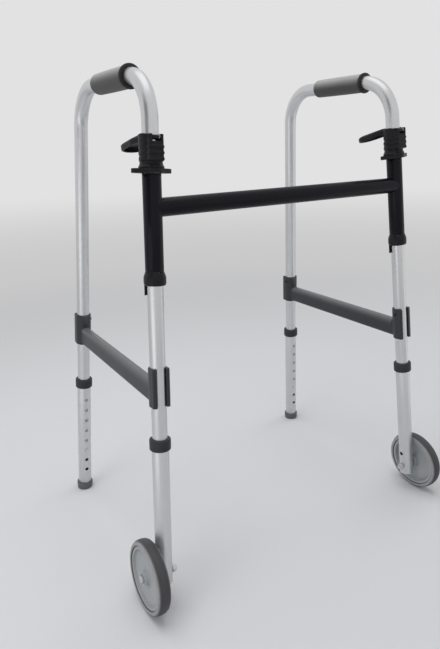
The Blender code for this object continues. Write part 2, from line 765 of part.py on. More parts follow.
def latch_plunger(name, latch_base):
    """A sprung pin behind the leg. Its tooth is drawn just under the lock ring's notch."""
    plunger = turned(
        name,
        [
            (0.0008, PLUNGER_TOP),
            (PLUNGER_RADIUS, PLUNGER_TOP - 0.0012),
            (PLUNGER_RADIUS, PLUNGER_BOTTOM),
            (0.0, PLUNGER_BOTTOM),
            (0.0, PLUNGER_TOP),
        ],
        12,
    )
    low = (-0.0012, -0.0034, PLUNGER_BOTTOM + 0.0004)
    high = (0.0012, 0.0, LOCK_RING_BOTTOM - 0.0004)
    boolean(plunger, box_mesh(low, high), "UNION")
    return place(plunger, ZINC, latch_base, (0, PLUNGER_Y, 0))


def lock_ring(name, fold_axis):
    """A steel ring on the leg, with the notch that the latch tooth holds."""
    band = ring(name, LOCK_RING_RADIUS, LEG_RADIUS + GAP, LOCK_RING_BOTTOM, LOCK_RING_TOP)
    low = (-0.0015, 0.0136, LOCK_RING_BOTTOM - 0.002)
    high = (0.0015, 0.0200, LOCK_RING_BOTTOM + 0.0045)
    boolean(band, box_mesh(low, high))
    return place(band, ZINC, fold_axis, (0, 0, FLANGE_TOP))


def crossbar(front_axes):
    """A level tube between the sleeves, its ends coped to their round."""
    rise = CROSSBAR_HEIGHT * LEG_UPRIGHT
    y = FRONT_FOOT_Y + CROSSBAR_HEIGHT * math.sin(LEG_RAKE)
    half = FOOT_SPREAD / 2 - CROSSBAR_HEIGHT * math.cos(LEG_RAKE) * math.sin(OUTWARD_LEAN)
    bar = ring("crossbar", CROSSBAR_RADIUS, CROSSBAR_RADIUS - CROSSBAR_WALL, -half, half)
    place(bar, BLACK_STEEL, None, (0, y, rise), (0, math.radians(90), 0))
    bpy.context.view_layer.update()
    for axis in front_axes:
        cope = cylinder_mesh(SLEEVE_RADIUS + GAP, SLEEVE_BOTTOM, SLEEVE_TOP, 24)
        to_bar = bar.matrix_world.inverted() @ axis.matrix_world
        bmesh.ops.transform(cope, matrix=to_bar, verts=cope.verts)
        boolean(bar, cope)
    return bar


def build_side(side, outward):
    """Everything on one side of the walker. outward is 1 for the user's left and -1 for the right."""
    foot = (outward * FOOT_SPREAD / 2, FRONT_FOOT_Y, 0)
    front_axis = frame_at(f"{side}_sleeve_axis", None, foot, (-LEG_RAKE, -outward * OUTWARD_LEAN, 0))
    sleeve(f"{side}_sleeve", front_axis)
    lower_bush(f"{side}_lower_bush", front_axis)
    base_flange(f"{side}_base_flange", front_axis)
    latch_base = frame_at(f"{side}_latch_base", front_axis, (0, 0, FLANGE_TOP))
    latch_housing(f"{side}_latch_housing", latch_base)
    pivot = release_lever(f"{side}_release_lever", latch_base)
    lever_pin(f"{side}_lever_pin", pivot)
    lever_spring(f"{side}_lever_spring", pivot)
    latch_plunger(f"{side}_latch_plunger", latch_base)

    fold_axis = frame_at(f"{side}_fold_axis", front_axis)
    plane = frame_at(f"{side}_side_plane", fold_axis, rotation=(LEG_RAKE, 0, 0))
    rear_axis = frame_at(f"{side}_rear_axis", plane, (0, BASE_DEPTH, 0), (LEG_RAKE, 0, 0))
    lock_ring(f"{side}_lock_ring", fold_axis)
    side_tube(f"{side}_side_tube", plane)
    grip(f"{side}_grip", plane)
    side_brace(f"{side}_side_brace", plane)

    front = (fold_axis, FRONT_BUTTON, 1, FRONT_LEG_END, FRONT_COLLAR_TOP, FRONT_FIRST_HOLE, FRONT_HOLES)
    rear = (rear_axis, REAR_BUTTON, -1, REAR_LEG_END, REAR_COLLAR_TOP, REAR_FIRST_HOLE, REAR_HOLES)
    for end, (axis, button, facing, bottom, top, first_hole, holes) in (("front", front), ("rear", rear)):
        brace_rivet(f"{side}_{end}_brace_rivet", axis, -outward)
        snap_button(f"{side}_{end}_button", axis, button, facing)
        button_spring(f"{side}_{end}_button_spring", axis, button, facing)
        lower_tube(f"{side}_{end}_lower_tube", axis, bottom, top, first_hole, holes, facing)
        collar(f"{side}_{end}_collar", axis, top)
    rubber_tip(f"{side}_rear_tip", rear_axis, outward * OUTWARD_LEAN)
    wheel_and_axle(side, fold_axis, outward)
    return front_axis


RIGHT_AXIS = build_side("right", -1)
LEFT_AXIS = build_side("left", 1)
crossbar((RIGHT_AXIS, LEFT_AXIS))
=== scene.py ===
# %% [markdown]
# # A folding walker
# This lesson dresses the solids of an aluminium folding walker so that it looks like the real
# one in a small, pale studio. The solids are already measured and jointed. They come in as a
# fixed frame, and every new piece is placed by the same numbers and hung on the solid that
# carries it.

# %% Load the solids
import math

import bmesh
import bpy
from mathutils import Euler, Matrix, Vector


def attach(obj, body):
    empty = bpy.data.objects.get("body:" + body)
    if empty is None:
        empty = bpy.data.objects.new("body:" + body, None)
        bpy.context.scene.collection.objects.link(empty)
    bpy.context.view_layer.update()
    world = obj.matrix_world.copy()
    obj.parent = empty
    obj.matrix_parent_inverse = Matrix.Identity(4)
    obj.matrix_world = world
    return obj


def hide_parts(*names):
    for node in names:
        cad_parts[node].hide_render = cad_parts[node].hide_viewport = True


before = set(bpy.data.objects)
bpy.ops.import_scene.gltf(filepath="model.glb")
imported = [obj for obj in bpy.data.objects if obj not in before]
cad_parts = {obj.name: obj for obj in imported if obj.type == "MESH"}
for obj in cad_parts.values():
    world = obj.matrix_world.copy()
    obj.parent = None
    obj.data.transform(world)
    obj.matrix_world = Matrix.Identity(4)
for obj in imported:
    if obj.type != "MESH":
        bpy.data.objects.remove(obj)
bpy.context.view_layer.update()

# %% [markdown]
# ## The walker's own numbers
# Everything is in metres. A walker is drawn from a few lines: two front legs and two rear legs
# that lean in towards the hand grips, and a crossbar between sleeves on the front legs. Heights
# are measured along a leg from the floor, because that is how its holes and fittings are spaced.

# %% Layout
FOOT_SPREAD = 0.616
BASE_DEPTH = 0.426
GRIP_HEIGHT = 0.865
OUTWARD_LEAN = math.radians(4.1)
LEG_RAKE = math.radians(4.2)
FRONT_FOOT_Y = -0.1923
GAP = 0.0003
QUARTER = math.radians(90)

LEG_RADIUS, LEG_WALL = 0.0127, 0.0013
LOWER_RADIUS, LOWER_WALL = 0.0143, 0.0012
SLEEVE_RADIUS, SLEEVE_WALL = 0.0145, 0.0012
CROSSBAR_RADIUS, CROSSBAR_WALL = 0.0143, 0.0014

HOLE_PITCH, HOLE_RADIUS = 0.0254, 0.0038
LEGS = {
    "front": {"bottom": 0.0430, "collar_top": 0.3084, "first_hole": 0.1200, "holes": 7, "facing": 1},
    "rear": {"bottom": 0.0070, "collar_top": 0.2800, "first_hole": 0.0542, "holes": 8, "facing": -1},
}
for leg in LEGS.values():
    leg["button"] = leg["first_hole"] + 2 * HOLE_PITCH
FLANGE_TOP = 0.7353
PIVOT = Vector((0, -0.0185, 0.0432))

# %% [markdown]
# ## Places
# Each side has a few local frames. A frame is a matrix whose Z runs up a leg, and a piece is
# modelled upright round the origin and then moved there. The person in the walker faces the
# same way as its front, so their right side is on the left of the picture.

# %% Frames of each side
places = {}
for side, outward in (("right", -1), ("left", 1)):
    foot = Matrix.Translation((outward * FOOT_SPREAD / 2, FRONT_FOOT_Y, 0))
    front = foot @ Euler((-LEG_RAKE, -outward * OUTWARD_LEAN, 0)).to_matrix().to_4x4()
    plane = front @ Matrix.Rotation(LEG_RAKE, 4, "X")
    rear = plane @ Matrix.Translation((0, BASE_DEPTH, 0)) @ Matrix.Rotation(LEG_RAKE, 4, "X")
    latch = front @ Matrix.Translation((0, 0, FLANGE_TOP))
    places[side] = {
        "front": front,
        "plane": plane,
        "rear": rear,
        "latch": latch,
        "lever": latch @ Matrix.Translation(PIVOT),
        "outward": outward,
    }
    print(side, "front foot at", [round(x, 4) for x in front.translation])

# %% [markdown]
# ## Shader notation
# A material is easier to read as a sum than as a list of boxes and wires. `Flow` wraps one
# socket, so that `0.2 + 0.1 * noise` adds the Math nodes by itself. `Recipe` wraps a tree of
# nodes and has a single method that adds any other node. `Paint` is a material's recipe.

# %% Flow, Recipe and Paint
class Flow:
    """A value that flows from one shader node to the next."""

    def __init__(self, recipe, socket):
        self.recipe = recipe
        self.socket = socket

    def math(self, operation, first, second):
        return self.recipe.node("ShaderNodeMath", {"operation": operation}, {0: first, 1: second})

    def __add__(self, other):
        return self.math("ADD", self, other)

    def __mul__(self, other):
        return self.math("MULTIPLY", self, other)

    def __sub__(self, other):
        return self.math("SUBTRACT", self, other)

    def __rsub__(self, other):
        return self.math("SUBTRACT", other, self)

    __radd__ = __add__
    __rmul__ = __mul__

    def either(self, other):
        return self.math("MAXIMUM", self, other)


class Recipe:
    """A tree of shader nodes with one way to add nodes to it."""

    def __init__(self, owner):
        owner.use_nodes = True
        self.tree = owner.node_tree

    def node(self, kind, settings=None, sockets=None, output=0):
        made = self.tree.nodes.new(kind)
        for name, value in (settings or {}).items():
            if name == "stops":
                for stop, (position, colour) in zip(made.color_ramp.elements, value):
                    stop.position = position
                    stop.color = colour
            else:
                setattr(made, name, value)
        for name, value in (sockets or {}).items():
            if isinstance(value, Flow):
                self.tree.links.new(value.socket, made.inputs[name])
            else:
                made.inputs[name].default_value = value
        return Flow(self, made.outputs[output])

    def surface(self, flow):
        """Sends a shader to the tree's output."""
        end = self.tree.nodes.get("Material Output") or self.tree.nodes["World Output"]
        self.tree.links.new(flow.socket, end.inputs["Surface"])

    def seen_directly(self):
        """1 where the camera or a shiny or clear surface looks, 0 where light only fills."""
        camera_ray = self.node("ShaderNodeLightPath", output="Is Camera Ray")
        glossy_ray = self.node("ShaderNodeLightPath", output="Is Glossy Ray")
        clear_ray = self.node("ShaderNodeLightPath", output="Is Transmission Ray")
        return camera_ray.either(glossy_ray).either(clear_ray)


class Paint(Recipe):
    """The recipe of one material."""

    def __init__(self, name, **uniform):
        self.material = bpy.data.materials.new(name)
        super().__init__(self.material)
        self.shader = self.tree.nodes["Principled BSDF"]
        for socket, value in uniform.items():
            self.shader.inputs[socket.replace("_", " ")].default_value = value

    def feed(self, socket, flow):
        self.tree.links.new(flow.socket, self.shader.inputs[socket])

    def own_place(self):
        """Where a point lies on its own piece, before the piece was put in its place."""
        return self.node("ShaderNodeAttribute", {"attribute_name": "own_place"}, output="Vector")

    def world_place(self):
        return self.node("ShaderNodeTexCoord", output="Object")

    def stretched(self, where, scale):
        return self.node("ShaderNodeMapping", None, {"Vector": where, "Scale": scale})

    def noise(self, where, scale, detail=3.0, rough=0.5):
        sockets = {"Vector": where, "Scale": scale, "Detail": detail, "Roughness": rough}
        return self.node("ShaderNodeTexNoise", None, sockets)

    def cells(self, where, scale):
        return self.node("ShaderNodeTexVoronoi", None, {"Vector": where, "Scale": scale})

    def between(self, value, low, high):
        """0 below low, 1 above high, and a smooth change between them."""
        sockets = {"Value": value, "From Min": low, "From Max": high}
        return self.node("ShaderNodeMapRange", {"interpolation_type": "SMOOTHSTEP"}, sockets)

    def part_of(self, where, axis):
        return self.node("ShaderNodeSeparateXYZ", None, {0: where}, output=axis)

    def length(self, where):
        return self.node("ShaderNodeVectorMath", {"operation": "LENGTH"}, {0: where}, output="Value")

    def reach(self, where):
        """How far a point lies from its piece's own upright axis."""
        flatten = {0: where, 1: (1.0, 1.0, 0.0)}
        return self.length(self.node("ShaderNodeVectorMath", {"operation": "MULTIPLY"}, flatten))

    def mixed(self, amount, first, second):
        """The first colour, or as much of the second as the amount says."""
        first = (*first, 1.0) if isinstance(first, tuple) else first
        settings = {"data_type": "RGBA", "clamp_factor": True}
        return self.node("ShaderNodeMix", settings, {0: amount, 6: first, 7: (*second, 1.0)}, output=2)

    def finish(self, tone, rough, grain, depth, strength):
        """Feeds what varies on every finish: its colour, its roughness and a grain in relief."""
        self.feed("Base Color", tone)
        self.feed("Roughness", rough)
        sockets = {"Height": grain, "Distance": depth, "Strength": strength}
        self.feed("Normal", self.node("ShaderNodeBump", None, sockets))
        return self.material


# %% [markdown]
# ## Aluminium tube
# The frame is clear-anodised aluminium tube. Drawing the tube through a die leaves fine lines
# along its length, and handling leaves faint cloudy patches. Where a tube slides inside another
# one, painted shade darkens it. The lines need coordinates that follow the tube round its bends,
# so each piece keeps an attribute with the place of every point on the straight, unbent piece.

# %% Satin aluminium
# The darker tone of the painted shade on the side tube inside a lower tube.
INSIDE_SHADE = (0.41, 0.41, 0.42)


def drawn_aluminium(name, dark, light, rough, slides=None):
    paint = Paint(name, Metallic=1.0)
    where = paint.own_place()
    lines = paint.noise(paint.stretched(where, (1300.0, 1300.0, 7.0)), 1.0, 2.0)
    clouds = paint.noise(where, 24.0, 4.0, 0.6)
    specks = paint.between(paint.noise(where, 420.0, 2.0), 0.66, 0.76)
    tone = paint.mixed(0.7 * clouds + 0.3 * lines, dark, light)
    if slides:
        # Painted shade darkens the side tube where it lies inside a lower tube.
        length = paint.part_of(where, "Z")
        inside_shade = 1.0 - paint.between(length, slides[0] - 0.004, slides[0])
        inside_shade = inside_shade + paint.between(length, slides[1], slides[1] + 0.004)
        tone = paint.mixed(inside_shade * (0.7 + 0.4 * clouds), tone, INSIDE_SHADE)
    rough = rough + 0.08 * clouds + 0.03 * lines + 0.05 * specks
    return paint.finish(tone, rough, lines, 0.00002, 0.25)


MATT_TUBE = drawn_aluminium("matt_aluminium", (0.61, 0.615, 0.625), (0.72, 0.725, 0.735), 0.34)

# %% [markdown]
# ## Gloss black paint
# The sleeves and the crossbar are steel tube in gloss black. Sprayed paint is never flat: it
# has a faint orange peel, which is a soft bump, and a clear coat gives the sharp highlight.

# %% Gloss black
PAINT_DUST = (0.12, 0.12, 0.125)


def gloss_black(name):
    paint = Paint(name, Coat_Roughness=0.09, Coat_IOR=1.5, Specular_IOR_Level=0.11)
    where = paint.own_place()
    peel = paint.noise(where, 260.0, 1.0)
    haze = paint.noise(where, 30.0, 4.0, 0.65)
    dust_and_highlight = paint.between(paint.noise(where, 900.0, 2.0), 0.70, 0.80)
    tone = paint.mixed(haze, (0.0027, 0.0028, 0.0055), (0.0050, 0.0051, 0.0092))
    tone = paint.mixed(0.25 * dust_and_highlight, tone, PAINT_DUST)
    paint.feed("Coat Weight", 0.18 - 0.09 * haze)
    return paint.finish(tone, 0.28 + 0.16 * haze, peel, 0.00004, 0.6)


GLOSS_BLACK = gloss_black("gloss_black_paint")

# %% [markdown]
# ## Moulded plastic
# The latches, bushes, collars and braces are moulded. Their mould has a fine spark-eroded
# texture, so the grain is a small cell pattern in the bump, and the colour drifts a little
# between thick and thin places. The same recipe serves black, slate and white plastic. A painted
# highlight makes the braces paler along the top of their bars, where light falls from above.

# %% Plastics
# The pale tone of the painted highlight along the top of the brace bars.
BAR_HIGHLIGHT = (0.122, 0.124, 0.130)
SLATE_DARK, SLATE_LIGHT = (0.0150, 0.0168, 0.0205), (0.023, 0.026, 0.031)


def moulded_plastic(name, dark, light, rough, shine=0.22, lit_top=None):
    paint = Paint(name, Specular_IOR_Level=shine)
    where = paint.own_place()
    drift = paint.noise(where, 36.0, 4.0, 0.6)
    texture = paint.cells(where, 1700.0)
    streaks = paint.noise(paint.stretched(where, (160.0, 160.0, 60.0)), 1.0, 3.0)
    scuffs = paint.between(streaks, 0.62, 0.8)
    tone = paint.mixed(drift, dark, light)
    paler = tuple(0.75 * channel + 0.06 for channel in light)
    tone = paint.mixed(0.18 * scuffs, tone, paler)
    # A painted highlight pales the level top of each bar.
    if lit_top:
        (height_low, height_high), (start, end) = lit_top
        height = paint.part_of(where, "Z")
        along = paint.part_of(where, "Y")
        on_bar = paint.between(along, start, start + 0.006) - paint.between(along, end - 0.006, end)
        dust_and_highlight = on_bar * paint.between(height + 0.002 * drift, height_low, height_high)
        tone = paint.mixed(dust_and_highlight, tone, BAR_HIGHLIGHT)
    return paint.finish(tone, rough + 0.12 * drift - 0.05 * scuffs, texture, 0.00003, 0.5)


BLACK_DARK, BLACK_LIGHT = (0.0062, 0.0062, 0.0088), (0.0110, 0.0112, 0.0150)
BLACK_PLASTIC = moulded_plastic("black_plastic", BLACK_DARK, BLACK_LIGHT, 0.34)
COLLAR_PLASTIC = moulded_plastic("collar_plastic", (0.030, 0.030, 0.033), (0.044, 0.044, 0.048), 0.38)
NYLON = moulded_plastic("white_nylon", (0.66, 0.66, 0.63), (0.74, 0.74, 0.71), 0.42)

# %% [markdown]
# ## Grip, tips and tyres
# The grips are soft vinyl foam: matt, slightly warm grey, with tiny closed pores, and a painted
# highlight makes them paler on top. Rubber tips and tyres are harder and darker. A tyre's
# sidewall is dusty, and its tread is paler where it has run on floors.

# %% Soft grip and rubber
TYRE_SEAT, TYRE_SHOULDER = 0.0538, 0.0615
SIDEWALL_DUST = (0.350, 0.348, 0.352)


def soft_foam(name, dark, light, wear_and_highlight):
    paint = Paint(name, Sheen_Weight=0.15, Sheen_Roughness=0.5)
    where = paint.own_place()
    pores = paint.cells(where, 1500.0)
    drift = paint.noise(where, 45.0, 4.0, 0.6)
    fine = paint.noise(where, 700.0, 2.0)
    # A painted highlight makes the top of the grip paler.
    highlight_mask = paint.between(paint.part_of(where, "Y") + 0.003 * drift, -0.0025, 0.0185)
    tone = paint.mixed(0.55 * drift + 0.45 * fine, dark, light)
    tone = paint.mixed(highlight_mask, tone, wear_and_highlight)
    return paint.finish(tone, 0.62 + 0.16 * drift, pores + 0.7 * fine, 0.00008, 0.55)


def rubber(name, dark, light, tread=False):
    paint = Paint(name)
    where = paint.own_place()
    drift = paint.noise(where, 60.0, 4.0, 0.65)
    fine = paint.noise(where, 1300.0, 2.0)
    tone = paint.mixed(drift, dark, light)
    if tread:
        reach = paint.reach(where)
        wear_and_highlight = paint.between(reach, TYRE_SHOULDER + 0.0010, TYRE_SHOULDER + 0.0025)
        paler = tuple(1.35 * channel + 0.012 for channel in light)
        tone = paint.mixed(0.5 * wear_and_highlight * paint.noise(where, 220.0, 4.0, 0.7), tone, paler)
        past_seat = paint.between(reach, TYRE_SEAT + 0.0002, TYRE_SEAT + 0.0012)
        past_shoulder = paint.between(reach, TYRE_SHOULDER - 0.0022, TYRE_SHOULDER + 0.0010)
        sidewall = past_seat - past_shoulder
        tone = paint.mixed(sidewall * (0.62 + 0.5 * drift), tone, SIDEWALL_DUST)
    return paint.finish(tone, 0.46 + 0.20 * drift, fine, 0.00005, 0.5)


# The pale tone of the grip's painted highlight.
GRIP_HIGHLIGHT = (0.310, 0.306, 0.304)
GRIP_FOAM = soft_foam("grey_grip", (0.047, 0.044, 0.043), (0.066, 0.062, 0.060), GRIP_HIGHLIGHT)
GRIP_LIP = rubber("grip_lip", (0.010, 0.010, 0.011), (0.017, 0.017, 0.018))
TIP_RUBBER = rubber("tip_rubber", (0.092, 0.091, 0.100), (0.130, 0.128, 0.137))
TYRE_RUBBER = rubber("tyre_rubber", (0.036, 0.035, 0.039), (0.057, 0.056, 0.061), tread=True)

# %% [markdown]
# ## Wheel hub and small metal
# The hubs are light grey plastic, with painted shade in patches where the disc meets rim and boss.
# Bolts, nuts and buttons are zinc plated, which is metal with a soft mottle. The rivets and
# the levers' pins are blackened steel, and the springs are bare.

# %% Hub plastic and metal
# The dark tone of the painted shade in the hub's corners.
HUB_SHADE = (0.16, 0.16, 0.165)


def hub_plastic(name):
    paint = Paint(name)
    where = paint.own_place()
    drift = paint.noise(where, 30.0, 4.0, 0.6)
    reach = paint.reach(where)
    # Painted shade darkens the disc, in patches, where it meets its rim and its boss.
    rim_shade = paint.between(reach, 0.0415, 0.0475) - paint.between(reach, 0.0482, 0.0500)
    boss_shade = 1.0 - paint.between(reach, 0.0125, 0.0190)
    patches = 0.35 + 0.9 * paint.noise(where, 140.0, 4.0, 0.7)
    corner_shade = (0.55 * rim_shade + 0.45 * boss_shade) * patches
    tone = paint.mixed(drift, (0.335, 0.352, 0.368), (0.392, 0.410, 0.426))
    tone = paint.mixed(0.65 * corner_shade, tone, HUB_SHADE)
    rough = 0.36 + 0.14 * drift + 0.15 * corner_shade
    return paint.finish(tone, rough, paint.cells(where, 1500.0), 0.00003, 0.4)


def plated_metal(name, dark, light, own=True):
    paint = Paint(name, Metallic=1.0)
    where = paint.own_place() if own else paint.world_place()
    mottle = paint.noise(where, 480.0, 3.0, 0.6)
    scratches = paint.noise(paint.stretched(where, (2600.0, 500.0, 500.0)), 1.0, 2.0)
    rough = 0.36 + 0.16 * mottle + 0.05 * scratches
    return paint.finish(paint.mixed(mottle, dark, light), rough, scratches, 0.00002, 0.5)


HUB_PLASTIC = hub_plastic("hub_plastic")
ZINC = plated_metal("zinc_plate", (0.58, 0.585, 0.59), (0.70, 0.70, 0.69))
ZINC_INSIDE = plated_metal("zinc_plate_inside", (0.50, 0.51, 0.51), (0.66, 0.66, 0.64), own=False)
DARK_STEEL = plated_metal("dark_steel", (0.030, 0.030, 0.033), (0.052, 0.052, 0.056))
SPRING_STEEL = plated_metal("spring_steel", (0.34, 0.34, 0.36), (0.46, 0.46, 0.48), own=False)

# %% [markdown]
# ## Modelling helpers
# Most pieces are either turned, like work on a lathe, or drawn along a line, like tube. Both
# start from a few edges and one operator. The helpers round off hard edges with a small bevel,
# because no real edge is perfectly sharp and a bevel catches a thin highlight.

# %% Turning
ROUND = 72


def softened(bm, width, angle=25.0, segments=2):
    """Bevels every edge that is sharper than an angle."""
    limit = math.radians(angle)
    hard = [e for e in bm.edges if e.is_manifold and e.calc_face_angle(0.0) > limit]
    arc = {"offset_type": "OFFSET", "segments": segments, "profile": 0.5, "affect": "EDGES"}
    bmesh.ops.bevel(bm, geom=hard, offset=width, clamp_overlap=True, material=-1, **arc)
    return bm


def turned(outline, width=0.0004, steps=ROUND):
    """Turns a closed (radius, height) outline about Z. What lies on the axis isn't turned."""
    bm = bmesh.new()
    points = [bm.verts.new((radius, 0.0, height)) for radius, height in outline]
    pairs = [pair for pair in zip(points, points[1:] + points[:1]) if pair[0].co.x + pair[1].co.x > 0]
    geom = points + [bm.edges.new(pair) for pair in pairs]
    full_turn = {"cent": (0, 0, 0), "axis": (0, 0, 1), "angle": 2 * math.pi, "steps": steps}
    bmesh.ops.spin(bm, geom=geom, use_merge=True, **full_turn)
    bmesh.ops.remove_doubles(bm, verts=bm.verts, dist=1e-6)
    bmesh.ops.recalc_face_normals(bm, faces=bm.faces)
    return softened(bm, width) if width else bm


def pipe_outline(outer, inner, bottom, top):
    return [(outer, top), (outer, bottom), (inner, bottom), (inner, top)]


# %% Drawing along a line
def wall_along(bm, stations, radius, steps):
    """Carries a circle from station to station. A station is its frame and its length so far."""
    own = bm.verts.layers.float_vector["own_place"]
    circle = bmesh.ops.create_circle(bm, segments=steps, radius=radius, matrix=stations[0][0])
    verts = circle["verts"]
    first = ring = list(dict.fromkeys(edge for vert in verts for edge in vert.link_edges))
    for index, (place, length) in enumerate(stations):
        if index:
            made = bmesh.ops.extrude_edge_only(bm, edges=ring)["geom"]
            verts = [item for item in made if isinstance(item, bmesh.types.BMVert)]
            edges = [item for item in made if isinstance(item, bmesh.types.BMEdge)]
            ring = [edge for edge in edges if edge.is_boundary]
            step = place @ stations[index - 1][0].inverted()
            bmesh.ops.transform(bm, matrix=step, verts=verts)
        back = place.inverted()
        for vert in verts:
            flat = back @ vert.co
            vert[own] = (flat.x, flat.y, length)
    return first, ring


def pipe_along(stations, outer, inner, steps=ROUND):
    """The outer and the inner wall of a tube, joined at both ends."""
    bm = bmesh.new()
    bm.verts.layers.float_vector.new("own_place")
    outside = wall_along(bm, stations, outer, steps)
    inside = wall_along(bm, stations, inner, steps)
    for out_ring, in_ring in zip(outside, inside):
        bmesh.ops.bridge_loops(bm, edges=out_ring + in_ring)
    bmesh.ops.recalc_face_normals(bm, faces=bm.faces)
    return bm


# %% [markdown]
# ## Hulls, cuts and castings
# Housings and levers have no simple section. They are built as a toolmaker would: a few convex
# blocks are joined, and drills and cutters take material away. A boolean leaves hard edges, so
# a fine voxel remesh and a little smoothing give the even, small radius of a moulding.

# %% Blocks and cutters
def disc_hull(discs, steps=32):
    """The convex block round some level discs, each (x, y, z, radius)."""
    bm = bmesh.new()
    for x, y, z, radius in discs:
        spot = Matrix.Translation((x, y, z))
        bmesh.ops.create_circle(bm, segments=steps, radius=radius, matrix=spot)
    hull = bmesh.ops.convex_hull(bm, input=bm.verts)
    inside = [item for item in hull["geom_interior"] if isinstance(item, bmesh.types.BMVert)]
    bmesh.ops.delete(bm, geom=inside, context="VERTS")
    bmesh.ops.recalc_face_normals(bm, faces=bm.faces)
    return bm


def block(low, high, place=Matrix()):
    bm = bmesh.new()
    low, high = Vector(low), Vector(high)
    size = Matrix.Diagonal((*(high - low), 1.0))
    middle = Matrix.Translation((low + high) / 2)
    bmesh.ops.create_cube(bm, size=1.0, matrix=place @ middle @ size)
    return bm


def rod(radius, low, high, place=Matrix(), steps=48):
    bm = bmesh.new()
    size = {"radius1": radius, "radius2": radius, "depth": high - low}
    middle = Matrix.Translation((0, 0, (low + high) / 2))
    bmesh.ops.create_cone(bm, cap_ends=True, segments=steps, matrix=place @ middle, **size)
    return bm


def loose(bm, name="block"):
    """A bmesh as an object, for a modifier to work on."""
    mesh = bpy.data.meshes.new(name)
    bm.to_mesh(mesh)
    bm.free()
    obj = bpy.data.objects.new(name, mesh)
    bpy.context.scene.collection.objects.link(obj)
    return obj


def taken(obj, *helpers):
    """The object's mesh with its modifiers applied, as a bmesh. The object is removed."""
    bpy.context.view_layer.update()
    graph = bpy.context.evaluated_depsgraph_get()
    mesh = bpy.data.meshes.new_from_object(obj.evaluated_get(graph))
    bm = bmesh.new()
    bm.from_mesh(mesh)
    bpy.data.meshes.remove(mesh)
    for used in (obj, *helpers):
        bpy.data.objects.remove(used)
    return bm


def combined(bm, *steps):
    """Works through the joins and cuts, each a pair of an operation and a bmesh."""
    obj = loose(bm)
    others = []
    for operation, other in steps:
        others.append(loose(other, "cutter"))
        modifier = obj.modifiers.new(operation, "BOOLEAN")
        modifier.operation = operation
        modifier.solver = "EXACT"
        modifier.object = others[-1]
    return taken(obj, *others)


def join(*others):
    return [("UNION", other) for other in others]


def cut(*others):
    return [("DIFFERENCE", other) for other in others]


def moulded(bm, voxel, rounds=3):
    """Gives a block the even small radius of a moulding."""
    obj = loose(bm)
    remesh = obj.modifiers.new("skin", "REMESH")
    remesh.mode = "VOXEL"
    remesh.voxel_size = voxel
    bm = taken(obj)
    every_way = {"use_axis_x": True, "use_axis_y": True, "use_axis_z": True}
    for _ in range(rounds):
        bmesh.ops.smooth_vert(bm, verts=bm.verts, factor=0.5, **every_way)
    return bm


ALONG_X = Matrix.Rotation(QUARTER, 4, "Y")
ALONG_Y = Matrix.Rotation(-QUARTER, 4, "X")

# %% [markdown]
# ## Showing a piece
# A finished shape is stored once, upright at the origin, and shown on each side in its place.
# The place goes into the mesh and the object stays at the origin, as the solids' objects do.
# Each piece then rides on a body, stands in for its solid and takes its finish.

# %% Shapes and pieces
def shape(bm, name, angle=35.0):
    """Keeps each point's own place as an attribute, and smooths the shading."""
    own = bm.verts.layers.float_vector.get("own_place")
    if own is None:
        own = bm.verts.layers.float_vector.new("own_place")
        for vert in bm.verts:
            vert[own] = vert.co
    mesh = bpy.data.meshes.new(name)
    bm.to_mesh(mesh)
    bm.free()
    mesh.shade_smooth()
    mesh.set_sharp_from_angle(angle=math.radians(angle))
    return mesh


def show(mesh, name, place, body, finish, slot, *nodes):
    """Puts a copy of a shape in its place and hangs it on its body."""
    copy = mesh.copy()
    copy.transform(place)
    copy.materials.clear()
    copy.materials.append(finish)
    obj = bpy.data.objects.new(name, copy)
    bpy.context.scene.collection.objects.link(obj)
    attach(obj, body)
    if nodes:
        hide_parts(*nodes)
    return obj


def show_both(mesh, part, ending, where, body, finish, slot, turn=Matrix()):
    """Shows a shape on each side, in one of the side's frames, for the side's own solid."""
    for side, place in places.items():
        node = f"{side}_{part}"
        name = f"{node}_{ending}"
        show(mesh, name, place[where] @ turn, body.format(side=side), finish, slot, node)


# %% [markdown]
# ## Side tubes
# One tube makes a front leg, the hand rail and a rear leg. A pipe bender keeps the bend's
# radius even, so the line is straight, a quarter bend, straight, a quarter bend and straight.
# The circle is carried along that line station by station.

# %% The bent tube's line
BEND_RADIUS, BEND_STEPS = 0.072, 20
TUBE_BELOW_BUTTON = 0.0150
GRIP_LINE = GRIP_HEIGHT / math.cos(OUTWARD_LEAN)


def leg_point(height, rear):
    y = height * math.sin(LEG_RAKE)
    return Vector((0, BASE_DEPTH - y if rear else y, height * math.cos(LEG_RAKE)))


def station(point, angle):
    """A frame at a point of the line, where the way round the bend is an angle from +Y."""
    return Matrix.Translation(point) @ Matrix.Rotation(angle - math.pi, 4, "X")


def side_stations():
    corner = GRIP_LINE * math.tan(LEG_RAKE)
    setback = BEND_RADIUS * math.tan((QUARTER - LEG_RAKE) / 2)
    line = [(leg_point(LEGS["front"]["button"] - TUBE_BELOW_BUTTON, False), math.pi - LEG_RAKE)]
    for middle, first, last in (
        (corner + setback, math.pi - LEG_RAKE, QUARTER),
        (BASE_DEPTH - corner - setback, QUARTER, LEG_RAKE),
    ):
        for step in range(BEND_STEPS + 1):
            angle = first + (last - first) * step / BEND_STEPS
            y = middle + BEND_RADIUS * math.cos(angle)
            z = GRIP_LINE - BEND_RADIUS + BEND_RADIUS * math.sin(angle)
            line.append((Vector((0, y, z)), angle))
    line.append((leg_point(LEGS["rear"]["button"] - TUBE_BELOW_BUTTON, True), LEG_RAKE))
    length, stations = 0.0, []
    for index, (point, angle) in enumerate(line):
        if index:
            length += (point - line[index - 1][0]).length
        stations.append((station(point, angle), length))
    return stations


